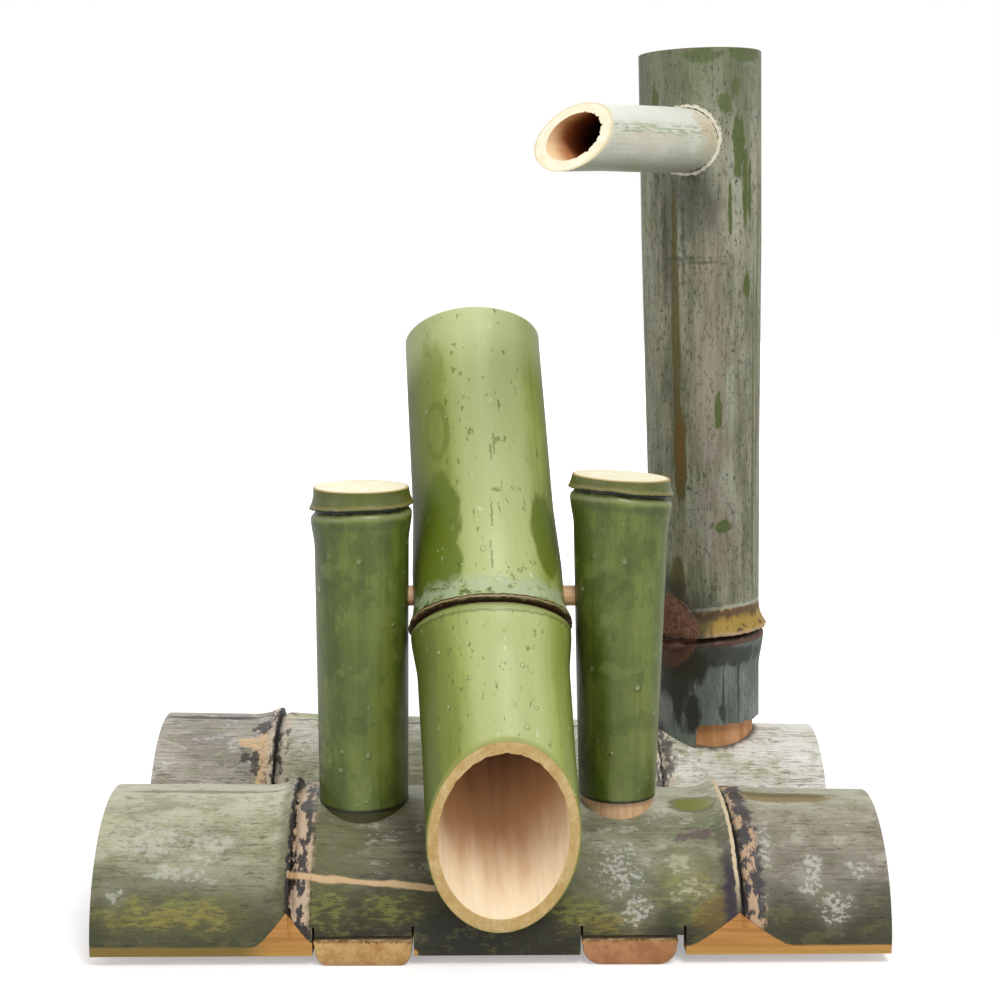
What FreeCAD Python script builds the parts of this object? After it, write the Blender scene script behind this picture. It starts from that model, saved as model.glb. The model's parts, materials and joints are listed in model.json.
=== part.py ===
import FreeCAD, Part
import math
import os

# Bamboo tipping fountain. Millimetres, +X right, +Y back, +Z up, with the origin on the
# ground under the middle of the whole outline. Water runs from the spout into the mouth of
# the rocker, which tips on its axle, empties and falls back on its tail.

V = FreeCAD.Vector

# Two half culms lie split side down and carry everything else
FRONT_LENGTH = 300.0
FRONT_LEFT_RADIUS = 48.9
FRONT_RIGHT_RADIUS = 46.6
FRONT_AXIS_Y = -40.4
FRONT_RINGS = (-77.5, 91.5)
REAR_LENGTH = 294.5
REAR_LEFT_RADIUS = 50.3
REAR_RIGHT_RADIUS = 44.6
REAR_SHIFT = 0.7
REAR_RINGS = (-96.5, 74.5)
BASE_WALL = 9.0
BASE_SPACING = 101.0
BASE_LIFT = 4.0
BASE_EDGE = 3.0
BASE_RIDGE = 0.9
BASE_FLARE = 13.0
PLANED_DEPTH = 0.15
SEPTUM = 3.5

# Two cross slats hold the half culms together from below
SLAT_THICKNESS = 10.0
SLAT_OFFSET = 2.2
SLAT_SQUARE_EDGE = 3.0
LEFT_SLAT_WIDTH = 37.4
LEFT_SLAT_FLAT = 28.0
RIGHT_SLAT_WIDTH = 36.3
RIGHT_SLAT_FLAT = 21.0
SLAT_SIDE_DRAFT = 0.5
LEFT_NOTCH_PLAY = 0.3
RIGHT_NOTCH_PLAY = 3.0
NOTCH_HEADROOM = 1.5
SAW_KERF = 0.9
SAW_OVERRUN = 3.5

# One nail goes up through each slat into each wall that it crosses
NAIL_THICKNESS = 1.8
NAIL_LENGTH = 20.0
NAIL_POINT = 3.0
NAIL_HEAD_WIDTH = 4.0
NAIL_HEAD_THICKNESS = 0.8
NAIL_DEPTH_IN_WALL = 7.2

# The side posts stand a little in front of the crest, upside down, cut just over a joint
POSTS_FORWARD = 5.5
LEFT_POST_FOOT_RADIUS = 17.4
LEFT_POST_RADIUS = 18.3
LEFT_POST_HEIGHT = 123.6
LEFT_POST_RING = 116.4
LEFT_POST_SHOULDER = -0.8
LEFT_TENON_RADIUS = 16.9
RIGHT_POST_FOOT_RADIUS = 14.9
RIGHT_POST_RADIUS = 18.6
RIGHT_POST_HEIGHT = 127.7
RIGHT_POST_RING = 122.4
RIGHT_POST_SHOULDER = 1.9
RIGHT_TENON_RADIUS = 13.7
POST_WALL = 5.0
POST_EDGE = 1.7
POST_RIDGE = 1.2
POST_FLARE = 7.0
TENON_PAST_WALL = 8.0
RIGHT_TOP_SLOPES = (-0.057, -0.02)

# The axle sits fast in the posts and the rocker turns on it
AXLE_HEIGHT = 80.25
AXLE_BACK = 2.5
AXLE_RADIUS = 4.0
AXLE_BITE = 12.0
AXLE_RUNNING_GAP = 0.07

# The rocker is a joint of culm with its septum just in front of the axle
ROCKER_RADIUS = 29.3
ROCKER_TAIL_RADIUS = 28.0
ROCKER_MOUTH_RADIUS = 28.4
ROCKER_WALL = 4.2
ROCKER_TAIL = 115.3
ROCKER_MOUTH = 96.6
ROCKER_RING = 13.0
ROCKER_EDGE = 2.4
ROCKER_RIDGE = 1.6
ROCKER_FLARE = 11.0
ROCKER_SHIFT = 1.3
ROCKER_YAW = 5.95
MOUTH_SLOPE = 0.985
SIDE_GAP = 3.0
LEAN_GAP = 0.3

# The water post stands on the rear half culm and leans a little to the left
WATER_POST_X = 98.2
WATER_POST_BACK = 2.5
WATER_POST_FOOT_RADIUS = 23.8
WATER_POST_RADIUS = 26.4
WATER_POST_HEIGHT = 299.0
WATER_POST_RING = 46.8
WATER_POST_WALL = 6.5
WATER_POST_EDGE = 3.0
WATER_POST_RIDGE = 2.0
WATER_POST_FLARE = 10.0
WATER_POST_LEAN = 1.6
WATER_TENON_RADIUS = 21.0
WATER_SHOULDER = 6.5
SKIN_TONGUE = 6.5
HOSE_HOLE_RADIUS = 8.0
BUD_RADIUS = 9.0
BUD_HEIGHT = 3.2
BUD_RISE = 3.0
BUD_TURN = 52.0

# The spout is pushed into the water post and cut slanting at its tip
SPOUT_HEIGHT = 262.1
SPOUT_ROOT_RADIUS = 13.33
SPOUT_TIP_RADIUS = 11.83
SPOUT_WALL = 3.5
SPOUT_REACH = 172.8
SPOUT_INSERT = 9.0
SPOUT_TURN = 21.4
SPOUT_DIP = 2.6
SPOUT_CUT_SLOPE = 1.452
SPOUT_CUT_SKEW = 0.255

# A culm's joint, along the way it grew: a flare up to a sharp edge, a groove and a soft
# ridge that fades out. Lengths along the culm are shares of the flare.
GROOVE_DEPTH = 0.5
START_SHARE = 0.75
GROOVE_SHARE = 0.25
RIDGE_SHARE = 0.6
FADE_SHARE = 1.9

# Between the joints a culm tapers, but it is level where another piece is let in
WATER_POST_LEVEL = 75.0
WATER_TOP_LEVEL = 95.0
SLAT_LEVEL = 22.0
POST_LEVEL = 25.0
ROCKER_LEVEL = 80.0
SPOUT_LEVEL = 50.0
HOLE_LEVEL = 6.0

# Working lengths that only have to be long enough
PAST = 1.0
FAR = 600.0

FRONT_TAPER = (FRONT_RIGHT_RADIUS - FRONT_LEFT_RADIUS) / FRONT_LENGTH
REAR_TAPER = (REAR_RIGHT_RADIUS - REAR_LEFT_RADIUS) / REAR_LENGTH
FRONT_RADIUS = (FRONT_LEFT_RADIUS + FRONT_RIGHT_RADIUS) / 2
CREST_Z = BASE_LIFT + FRONT_RADIUS
POSTS_Y = FRONT_AXIS_Y - POSTS_FORWARD
REAR_AXIS_Y = FRONT_AXIS_Y + BASE_SPACING
WATER_POST_Y = REAR_AXIS_Y + WATER_POST_BACK
AXLE_Y = POSTS_Y + AXLE_BACK
AXLE_Z = CREST_Z + AXLE_HEIGHT
LEFT_RADIUS_AT_AXLE = LEFT_POST_FOOT_RADIUS + (
    LEFT_POST_RADIUS - LEFT_POST_FOOT_RADIUS) * AXLE_HEIGHT / LEFT_POST_HEIGHT
RIGHT_RADIUS_AT_AXLE = RIGHT_POST_FOOT_RADIUS + (
    RIGHT_POST_RADIUS - RIGHT_POST_FOOT_RADIUS) * AXLE_HEIGHT / RIGHT_POST_HEIGHT
LEFT_POST_X = -(ROCKER_RADIUS + SIDE_GAP + LEFT_RADIUS_AT_AXLE)
RIGHT_POST_X = ROCKER_RADIUS + SIDE_GAP + RIGHT_RADIUS_AT_AXLE


def front_radius(x):
    return FRONT_RADIUS + FRONT_TAPER * x


def rear_radius(x):
    return REAR_LEFT_RADIUS + REAR_TAPER * (REAR_LENGTH / 2 + REAR_SHIFT + x)


def front_face_y(x):
    """Where the front half culm is planed flat beside the ground."""
    return FRONT_AXIS_Y - front_radius(x) + PLANED_DEPTH


REAR_CREST_Z = BASE_LIFT + rear_radius(WATER_POST_X)


class Outline:
    """A half section beside the Z axis, drawn from point to point and then turned round."""

    def __init__(self, radius, along):
        self.first = self.here = V(radius, 0, along)
        self.edges = []

    def line(self, radius, along):
        there = V(radius, 0, along)
        self.edges.append(Part.makeLine(self.here, there))
        self.here = there
        return self

    def turned(self, angle=360):
        closing = Part.makeLine(self.here, self.first)
        face = Part.Face(Part.Wire(self.edges + [closing]))
        return face.revolve(V(0, 0, 0), V(0, 0, 1), angle)


def levelled(length, start, end, levels):
    """Radii that taper evenly, but stay level where another piece is let in."""
    radii = {0: start, length: end}
    for low, high in levels:
        radii[low] = radii[high] = start + (end - start) * (low + high) / 2 / length
    return sorted(radii.items())


class Culm:
    """A length of bamboo on the Z axis. Its radii are (along, radius) pairs in order."""

    def __init__(self, radii, wall, edge, ridge, flare):
        self.radii = radii
        self.length = radii[-1][0]
        self.wall = wall
        self.edge = edge
        self.ridge = ridge
        self.flare = flare

    def radius(self, along):
        for (low, low_radius), (high, high_radius) in zip(self.radii, self.radii[1:]):
            if along <= high:
                break
        return low_radius + (high_radius - low_radius) * (along - low) / (high - low)

    def joint(self, outline, place, growth):
        """Adds one joint to the outline, and turns it end for end where growth is -1."""
        flare = self.flare
        ridge = self.ridge
        corners = [
            (-flare * START_SHARE, 0),
            (0, self.edge),
            (flare * GROOVE_SHARE, -GROOVE_DEPTH),
            (flare * RIDGE_SHARE, ridge),
            (flare * FADE_SHARE, 0),
        ]
        if growth < 0:
            corners.reverse()
        self.carry_on(outline, place + growth * corners[0][0])
        for step, raised in corners[1:]:
            along = place + growth * step
            outline.line(self.radius(along) + raised, along)

    def carry_on(self, outline, end):
        """Draws the skin on to a place along the culm, through its tapers and levels."""
        for along, radius in self.radii + [(end, self.radius(end))]:
            if outline.here.z < along <= end:
                outline.line(radius, along)

    def stem(self, joints, growth, angle=360):
        """The solid stem, before it is bored. The joints are places along it, in order."""
        outline = Outline(0, 0).line(self.radius(0), 0)
        for place in joints:
            self.joint(outline, place, growth)
        self.carry_on(outline, self.length)
        return outline.line(0, self.length).turned(angle)

    def chamber(self, low, high):
        """The hollow from low to high, as wide as the thinner end of the wall allows."""
        radius = min(self.radius(low), self.radius(high)) - self.wall
        return rod(radius, V(0, 0, low), V(0, 0, high))


def box(low, high):
    return Part.makeBox(high.x - low.x, high.y - low.y, high.z - low.z, low)


def rod(radius, start, end):
    along = end - start
    return Part.makeCylinder(radius, along.Length, start, along)


def half_space(point, normal):
    """A large block on the side of a plane that its normal points to."""
    block = box(V(-FAR, -FAR, 0), V(FAR, FAR, FAR))
    return block.transformed(
        FreeCAD.Placement(point, FreeCAD.Rotation(V(0, 0, 1), normal)).toMatrix())


def bored(culm, stem, joints):
    """Opens the hollows between the septa, and through the ends."""
    walls = [-PAST - SEPTUM / 2] + list(joints) + [culm.length + PAST + SEPTUM / 2]
    for low, high in zip(walls, walls[1:]):
        stem = stem.cut(culm.chamber(low + SEPTUM / 2, high - SEPTUM / 2))
    return stem


def half_culm(length, left_radius, right_radius, rings, shift, axis_y, hollow):
    """A culm that lies split side down. It grew to the right."""
    middle = length / 2
    levels = [(middle + shift + x - SLAT_LEVEL, middle + shift + x + SLAT_LEVEL)
              for x in (LEFT_POST_X + SLAT_OFFSET, RIGHT_POST_X + SLAT_OFFSET)]
    radii = levelled(length, left_radius, right_radius, levels)
    culm = Culm(radii, BASE_WALL, BASE_EDGE, BASE_RIDGE, BASE_FLARE)
    joints = [middle + ring for ring in rings]
    half = culm.stem(joints, 1, 180)
    half.rotate(V(0, 0, 0), V(0, 0, 1), 90)
    if hollow:
        half = bored(culm, half, joints)
    half.rotate(V(0, 0, 0), V(0, 1, 0), 90)
    half.translate(V(-shift - middle, axis_y, BASE_LIFT))
    return half


def front_half():
    half = half_culm(FRONT_LENGTH, FRONT_LEFT_RADIUS, FRONT_RIGHT_RADIUS, FRONT_RINGS, 0,
                     FRONT_AXIS_Y, True)
    return half.common(half_space(V(0, front_face_y(0), 0), V(FRONT_TAPER, 1, 0)))


def rear_half(hollow):
    return half_culm(REAR_LENGTH, REAR_LEFT_RADIUS, REAR_RIGHT_RADIUS, REAR_RINGS,
                     REAR_SHIFT, REAR_AXIS_Y, hollow)


def slat(middle_x, width, flat):
    """A strip split from a large culm, skin side down, from the front face to the back."""
    top = width / 2
    side = top - SLAT_SIDE_DRAFT
    foot = flat / 2
    shoulder_z = SLAT_THICKNESS - SLAT_SQUARE_EDGE
    round_x = side - (side - foot) / 3
    round_z = shoulder_z / 3
    y = front_face_y(middle_x)
    right = [V(top, y, SLAT_THICKNESS), V(side, y, shoulder_z), V(foot, y, 0)]
    left = [V(-p.x, y, p.z) for p in right]
    edges = [
        Part.makeLine(left[0], right[0]),
        Part.makeLine(right[0], right[1]),
        Part.Arc(right[1], V(round_x, y, round_z), right[2]).toShape(),
        Part.makeLine(right[2], left[2]),
        Part.Arc(left[2], V(-round_x, y, round_z), left[1]).toShape(),
        Part.makeLine(left[1], left[0]),
    ]
    end = Part.Face(Part.Wire(edges))
    back_y = REAR_AXIS_Y + rear_radius(middle_x)
    strip = end.extrude(V(0, back_y - y, 0))
    strip.translate(V(middle_x, 0, 0))
    return strip


def notch(middle_x, width, play, low_y, high_y, headroom):
    """A sawn notch for a slat, with both saw cuts run past its corners."""
    left = middle_x - width / 2 - LEFT_NOTCH_PLAY
    right = middle_x + width / 2 + play
    top = SLAT_THICKNESS + headroom
    cut = box(V(left, low_y, 0), V(right, high_y, top))
    for x in (left, right - SAW_KERF):
        kerf = box(V(x, low_y, top - PAST), V(x + SAW_KERF, high_y, top + SAW_OVERRUN))
        cut = cut.fuse(kerf)
    return cut


def bar(x, y, low_z, high_z, width):
    half = width / 2
    return box(V(x - half, y - half, low_z), V(x + half, y + half, high_z))


def nail(x, y):
    """A square cut nail, driven from below, with its head let in flush."""
    pin = bar(x, y, 0, NAIL_LENGTH, NAIL_THICKNESS)
    half = NAIL_THICKNESS / 2
    for side in (V(1, 0, 0), V(0, 1, 0)):
        for way in (1, -1):
            edge = V(x, y, NAIL_LENGTH - NAIL_POINT) + side * way * half
            pin = pin.cut(half_space(edge, side * way * NAIL_POINT + V(0, 0, half)))
    return bar(x, y, 0, NAIL_HEAD_THICKNESS, NAIL_HEAD_WIDTH).fuse(pin)


def nail_rows(x):
    """Where the nails go up into the four walls, from the front to the back."""
    rows = []
    for axis_y, radius in ((FRONT_AXIS_Y, front_radius(x)), (REAR_AXIS_Y, rear_radius(x))):
        reach = radius - NAIL_DEPTH_IN_WALL
        rows += [axis_y - reach, axis_y + reach]
    return rows


def tenon_below(shape, x, radius, shoulder_z, foot_z):
    """Shaves everything under the shoulder of a side post down to a round tenon."""
    above = shape.common(half_space(V(0, 0, shoulder_z), V(0, 0, 1)))
    return above.fuse(rod(radius, V(x, POSTS_Y, foot_z), V(x, POSTS_Y, shoulder_z)))


def side_post(x, height, foot_radius, top_radius, ring, top_slopes, shoulder,
              tenon_radius):
    """A post upside down, drawn a little too long at both ends and then cut to length."""
    spare = POST_FLARE
    axle_along = spare + AXLE_HEIGHT
    length = spare + height + spare
    levels = [(0, spare + POST_LEVEL), (axle_along - POST_LEVEL, axle_along + POST_LEVEL / 2),
              (spare + ring, length)]
    radii = levelled(length, foot_radius, top_radius, levels)
    culm = Culm(radii, POST_WALL, POST_EDGE, POST_RIDGE, POST_FLARE)
    stem = culm.stem([spare + ring], -1)
    stem.translate(V(x, POSTS_Y, CREST_Z - spare))
    top = V(x, POSTS_Y, CREST_Z + height)
    stem = stem.cut(half_space(top, V(-top_slopes[0], -top_slopes[1], 1)))
    foot_z = CREST_Z - BASE_WALL - TENON_PAST_WALL
    post = tenon_below(stem, x, tenon_radius, CREST_Z + shoulder, foot_z)
    hollow_top = CREST_Z + ring - POST_FLARE * GROOVE_SHARE - SEPTUM
    bore = rod(tenon_radius - POST_WALL, V(x, POSTS_Y, foot_z - PAST),
               V(x, POSTS_Y, hollow_top))
    return post, bore


def axle(radius):
    left = LEFT_POST_X + LEFT_RADIUS_AT_AXLE - AXLE_BITE
    right = RIGHT_POST_X - RIGHT_RADIUS_AT_AXLE + AXLE_BITE
    return rod(radius, V(left, AXLE_Y, AXLE_Z), V(right, AXLE_Y, AXLE_Z))


def rocker_lean():
    """How steeply the rocker hangs when its underside leans on the front half culm."""
    reach = FRONT_RADIUS + ROCKER_MOUTH_RADIUS + LEAN_GAP
    rise = AXLE_Z - BASE_LIFT
    forward = FRONT_AXIS_Y - AXLE_Y
    tilt = math.acos(reach / math.hypot(rise, forward)) + math.atan(forward / rise)
    return math.atan(math.cos(math.radians(ROCKER_YAW)) * math.tan(tilt))


def rocker():
    """Drawn from tail to mouth, with its underside towards local +X, then hung."""
    lip = ROCKER_TAIL + ROCKER_MOUTH + MOUTH_SLOPE * ROCKER_RADIUS + PAST
    ring = ROCKER_TAIL + ROCKER_RING
    let_in = AXLE_RADIUS + HOLE_LEVEL
    mouth_level = ROCKER_TAIL + ROCKER_MOUTH - MOUTH_SLOPE * ROCKER_RADIUS
    radii = [(0, ROCKER_TAIL_RADIUS), (ROCKER_LEVEL, ROCKER_TAIL_RADIUS),
             (ROCKER_TAIL - let_in, ROCKER_RADIUS), (ring, ROCKER_RADIUS),
             (mouth_level, ROCKER_MOUTH_RADIUS), (lip, ROCKER_MOUTH_RADIUS)]
    culm = Culm(radii, ROCKER_WALL, ROCKER_EDGE, ROCKER_RIDGE, ROCKER_FLARE)
    tube = bored(culm, culm.stem([ring], 1), [ring])
    mouth = V(0, 0, ROCKER_TAIL + ROCKER_MOUTH)
    tube = tube.cut(half_space(mouth, V(-MOUTH_SLOPE, 0, 1)))
    tube.translate(V(0, 0, -ROCKER_TAIL))
    lean = rocker_lean()
    to_mouth = V(0, -math.cos(lean), -math.sin(lean))
    underside = V(0, math.sin(lean), -math.cos(lean))
    tube.Placement = FreeCAD.Placement(
        V(-ROCKER_SHIFT, AXLE_Y, AXLE_Z),
        FreeCAD.Rotation(V(0, 0, 1), ROCKER_YAW)
        * FreeCAD.Rotation(underside, V(1, 0, 0), to_mouth, "ZXY")
    ).multiply(tube.Placement)
    return tube.cut(axle(AXLE_RADIUS + AXLE_RUNNING_GAP))


def leaned(shape, way=1):
    """Leans what belongs to the water post, about its place on the crest."""
    shape.rotate(V(WATER_POST_X, WATER_POST_Y, REAR_CREST_Z), V(0, 1, 0),
                 -WATER_POST_LEAN * way)
    return shape


def bud():
    """A dormant bud, pressed flat against the culm beside its joint."""
    turn = math.radians(BUD_TURN)
    outward = V(-math.cos(turn), -math.sin(turn), 0)
    middle = V(WATER_POST_X, WATER_POST_Y, REAR_CREST_Z + WATER_POST_RING + BUD_RISE)
    ball_radius = (BUD_RADIUS ** 2 + BUD_HEIGHT ** 2) / (2 * BUD_HEIGHT)
    depth = ball_radius - BUD_HEIGHT
    return Part.makeSphere(ball_radius, middle + outward * (WATER_POST_FOOT_RADIUS - depth))


def water_post():
    """Two culm joints upside down, shaved to a tenon but for a tongue of skin at the left."""
    below = BASE_WALL + TENON_PAST_WALL
    length = WATER_POST_HEIGHT + below
    ring = below + WATER_POST_RING
    foot_level = ring - WATER_POST_FLARE * FADE_SHARE
    levels = [(0, foot_level), (ring, ring + WATER_POST_LEVEL),
              (length - WATER_TOP_LEVEL, length)]
    radii = levelled(length, WATER_POST_FOOT_RADIUS, WATER_POST_RADIUS, levels)
    culm = Culm(radii, WATER_POST_WALL, WATER_POST_EDGE, WATER_POST_RIDGE, WATER_POST_FLARE)
    stem = culm.stem([ring], -1)
    hollow = culm.chamber(-PAST, ring - SEPTUM / 2)
    hollow = hollow.fuse(culm.chamber(ring + SEPTUM / 2, culm.length + PAST))
    hollow = hollow.fuse(rod(HOSE_HOLE_RADIUS, V(0, 0, ring - SEPTUM), V(0, 0, ring + SEPTUM)))
    foot = V(WATER_POST_X, WATER_POST_Y, REAR_CREST_Z - below)
    for shape in (stem, hollow):
        shape.translate(foot)
    shoulder_z = REAR_CREST_Z + WATER_SHOULDER
    skin = stem.common(half_space(V(0, 0, shoulder_z), V(0, 0, 1)))
    tongue = stem.common(half_space(V(WATER_POST_X - SKIN_TONGUE, 0, 0), V(-1, 0, 0)))
    tongue = tongue.common(half_space(V(0, 0, shoulder_z), V(0, 0, -1)))
    tongue = tongue.cut(leaned(rear_half(False), -1))
    tongue = tongue.common(half_space(V(0, 0, REAR_CREST_Z - below), V(0, 0, 1)))
    tenon = rod(WATER_TENON_RADIUS, foot, V(foot.x, foot.y, shoulder_z))
    return skin.fuse(tongue), tenon, hollow


def spout():
    """Drawn from the axis of the water post outwards, with its upper side to local +X."""
    tip = SPOUT_REACH + SPOUT_CUT_SLOPE * SPOUT_ROOT_RADIUS + PAST
    start = SPOUT_INSERT
    length = tip - start
    levels = [(0, SPOUT_LEVEL), (length - SPOUT_LEVEL, length)]
    radii = levelled(length, SPOUT_ROOT_RADIUS, SPOUT_TIP_RADIUS, levels)
    culm = Culm(radii, SPOUT_WALL, 0, 0, 0)
    solid = culm.stem([], 1)
    tube = solid.cut(culm.chamber(-PAST, length + PAST))
    end = half_space(V(0, 0, SPOUT_REACH - start), V(SPOUT_CUT_SLOPE, -SPOUT_CUT_SKEW, 1))
    turn = math.radians(SPOUT_TURN)
    dip = math.radians(SPOUT_DIP)
    out = V(-math.sin(turn) * math.cos(dip), -math.cos(turn) * math.cos(dip), -math.sin(dip))
    side = out.cross(V(0, 0, 1)).normalize()
    upper = side.cross(out)
    lean = math.radians(WATER_POST_LEAN)
    root = V(WATER_POST_X - SPOUT_HEIGHT * math.sin(lean), WATER_POST_Y,
             REAR_CREST_Z + SPOUT_HEIGHT * math.cos(lean))
    place = FreeCAD.Placement(root + out * start, FreeCAD.Rotation(upper, side, out, "ZXY"))
    return [shape.cut(end).transformed(place.toMatrix()) for shape in (tube, solid)]


def build():
    front, rear = front_half(), rear_half(True)

    left_post, left_bore = side_post(
        LEFT_POST_X, LEFT_POST_HEIGHT, LEFT_POST_FOOT_RADIUS, LEFT_POST_RADIUS,
        LEFT_POST_RING, (0, 0), LEFT_POST_SHOULDER, LEFT_TENON_RADIUS)
    right_post, right_bore = side_post(
        RIGHT_POST_X, RIGHT_POST_HEIGHT, RIGHT_POST_FOOT_RADIUS, RIGHT_POST_RADIUS,
        RIGHT_POST_RING, RIGHT_TOP_SLOPES, RIGHT_POST_SHOULDER, RIGHT_TENON_RADIUS)
    front = front.cut(left_post).cut(right_post)
    dowel = axle(AXLE_RADIUS)
    left_post = left_post.cut(left_bore).cut(dowel)
    right_post = right_post.cut(right_bore).cut(dowel)

    skin, tenon, hollow = water_post()
    tube, solid_spout = spout()
    tall = leaned(skin.fuse(tenon).cut(hollow))
    rear = rear.cut(leaned(tenon))
    tall = tall.fuse(leaned(bud()).cut(leaned(hollow)))
    tall = tall.cut(solid_spout)

    slats = []
    pins = []
    for post_x, width, flat, play in (
            (LEFT_POST_X, LEFT_SLAT_WIDTH, LEFT_SLAT_FLAT, LEFT_NOTCH_PLAY),
            (RIGHT_POST_X, RIGHT_SLAT_WIDTH, RIGHT_SLAT_FLAT, RIGHT_NOTCH_PLAY)):
        x = post_x + SLAT_OFFSET
        strip = slat(x, width, flat)
        row = [nail(x, y) for y in nail_rows(x)]
        back_y = REAR_AXIS_Y + REAR_LEFT_RADIUS + BASE_EDGE
        face = notch(x, width, play, front_face_y(x) - PAST, FRONT_AXIS_Y, NOTCH_HEADROOM)
        inner = notch(x, width, play, FRONT_AXIS_Y, back_y, 0)
        front = front.cut(face).cut(inner)
        rear = rear.cut(inner)
        for pin in row:
            strip = strip.cut(pin)
            front = front.cut(pin)
            rear = rear.cut(pin)
        slats.append(strip)
        pins += row

    return {
        "front_base": front,
        "rear_base": rear,
        "left_slat": slats[0],
        "right_slat": slats[1],
        "slat_nails": Part.makeCompound(pins),
        "left_post": left_post,
        "right_post": right_post,
        "axle": dowel,
        "rocker": rocker(),
        "water_post": tall,
        "spout": tube,
    }


os.makedirs("parts", exist_ok=True)
for name, shape in build().items():
    shape.exportStep(os.path.join("parts", name + ".step"))
    outline = shape.optimalBoundingBox(False, False)
    print(name, len(shape.Solids), "solids", round(shape.Volume), "mm3",
          [round(v, 1) for v in (outline.XMin, outline.YMin, outline.ZMin,
                                 outline.XMax, outline.YMax, outline.ZMax)])
print("rocker leans", round(math.degrees(rocker_lean()), 2), "degrees")
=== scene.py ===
# %% [markdown]
# A bamboo tipping fountain. Water runs from the spout into the rocker's mouth, the rocker
# tips on its dowel and empties, and its tail falls back on the rear culm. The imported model
# gives every piece its size and place. Blender adds what a split and sawn culm has on top:
# wavy joints, torn rims, wax, lichen, water stains and end grain.

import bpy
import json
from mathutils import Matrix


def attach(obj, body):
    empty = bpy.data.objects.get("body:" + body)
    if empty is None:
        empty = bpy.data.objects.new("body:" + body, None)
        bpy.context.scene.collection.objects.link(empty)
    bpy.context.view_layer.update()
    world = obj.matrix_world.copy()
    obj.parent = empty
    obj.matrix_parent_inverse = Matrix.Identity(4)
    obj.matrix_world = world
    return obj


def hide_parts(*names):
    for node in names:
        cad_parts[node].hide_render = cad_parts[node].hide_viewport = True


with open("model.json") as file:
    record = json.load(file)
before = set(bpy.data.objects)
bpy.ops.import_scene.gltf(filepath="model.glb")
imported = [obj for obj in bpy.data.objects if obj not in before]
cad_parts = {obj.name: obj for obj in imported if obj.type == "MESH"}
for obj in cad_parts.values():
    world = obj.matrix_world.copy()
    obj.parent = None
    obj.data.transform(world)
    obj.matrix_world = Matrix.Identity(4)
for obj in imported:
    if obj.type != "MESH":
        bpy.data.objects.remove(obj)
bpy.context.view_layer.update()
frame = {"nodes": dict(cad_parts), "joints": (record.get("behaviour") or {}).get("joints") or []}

# %% [markdown]
# Everything below is worked out in millimetres, as a maker would measure it, and turned
# into Blender's metres in the one place where a mesh is made.

# %% Units and tools
import json
import math

import bmesh
import bpy
import numpy as np
from mathutils import Matrix, Vector

MM = 0.001
NORTH, SOUTH, EAST, UP = (0, 1, 0), (0, -1, 0), (1, 0, 0), (0, 0, 1)
hinge = Vector(frame["joints"][0]["pos_m"]) / MM
print("the rocker turns at", [round(v, 1) for v in hinge])

# %% [markdown]
# Every piece but the slats, nails and dowel is a length of culm, so they all share one set
# of measures: a root, the way the culm runs, and the side that counts as its face. A place
# on it is then a length along it, a turn round it and a distance from its middle. No culm
# is quite round or straight, so each gets a few slow swellings from its own seed.

# %% A culm's own measures


class Culm:
    def __init__(self, root, run, face, radii, seed):
        self.root = Vector(root)
        self.run = Vector(run).normalized()
        face = Vector(face)
        self.face = (face - self.run * face.dot(self.run)).normalized()
        self.side = self.run.cross(self.face)
        self.radii = radii
        self.joints, self.raised = [], []
        self.limit = None
        rng = np.random.default_rng(seed)
        self.swellings = [
            (rng.uniform(0.03, 0.12), count, rng.uniform(0, 6.28), rng.uniform(-0.02, 0.02))
            for count in (1, 2, 2, 3, 5)]

    def place(self, along, turn, radius):
        out = (np.cos(turn)[..., None] * np.array(self.face)
               + np.sin(turn)[..., None] * np.array(self.side))
        on_axis = np.array(self.root) + along[..., None] * np.array(self.run)
        return on_axis + out * radius[..., None]

    def plain(self, along):
        """The radius of the skin before anything swells or stands out."""
        return np.interp(along, *zip(*self.radii))

    def skin(self, along, turn):
        """The radius of the skin, with its swellings, its joints and whatever else stands out."""
        radius = self.plain(along)
        for size, count, phase, drift in self.swellings:
            radius = radius + size * np.cos(count * turn + phase + drift * along)
        for raised in self.joints + self.raised:
            radius = radius + raised.height(along, turn)
        return radius if self.limit is None else np.minimum(radius, self.limit(along, turn))


# %% [markdown]
# A joint has two lines. Where the sheath of the leaf stood, the culm flares to a thin edge
# that breaks up as it weathers. Past the edge is a groove, and then a soft ridge that fades
# into the next length. Neither line is quite square to the culm, so the joint's place is a
# function of the turn: a tilt and a few small waves. The points of the mesh follow the same
# function, which keeps the edge crisp without a very fine mesh.

# %% A joint


def smooth(value):
    value = np.clip(value, 0, 1)
    return value * value * (3 - 2 * value)


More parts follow.
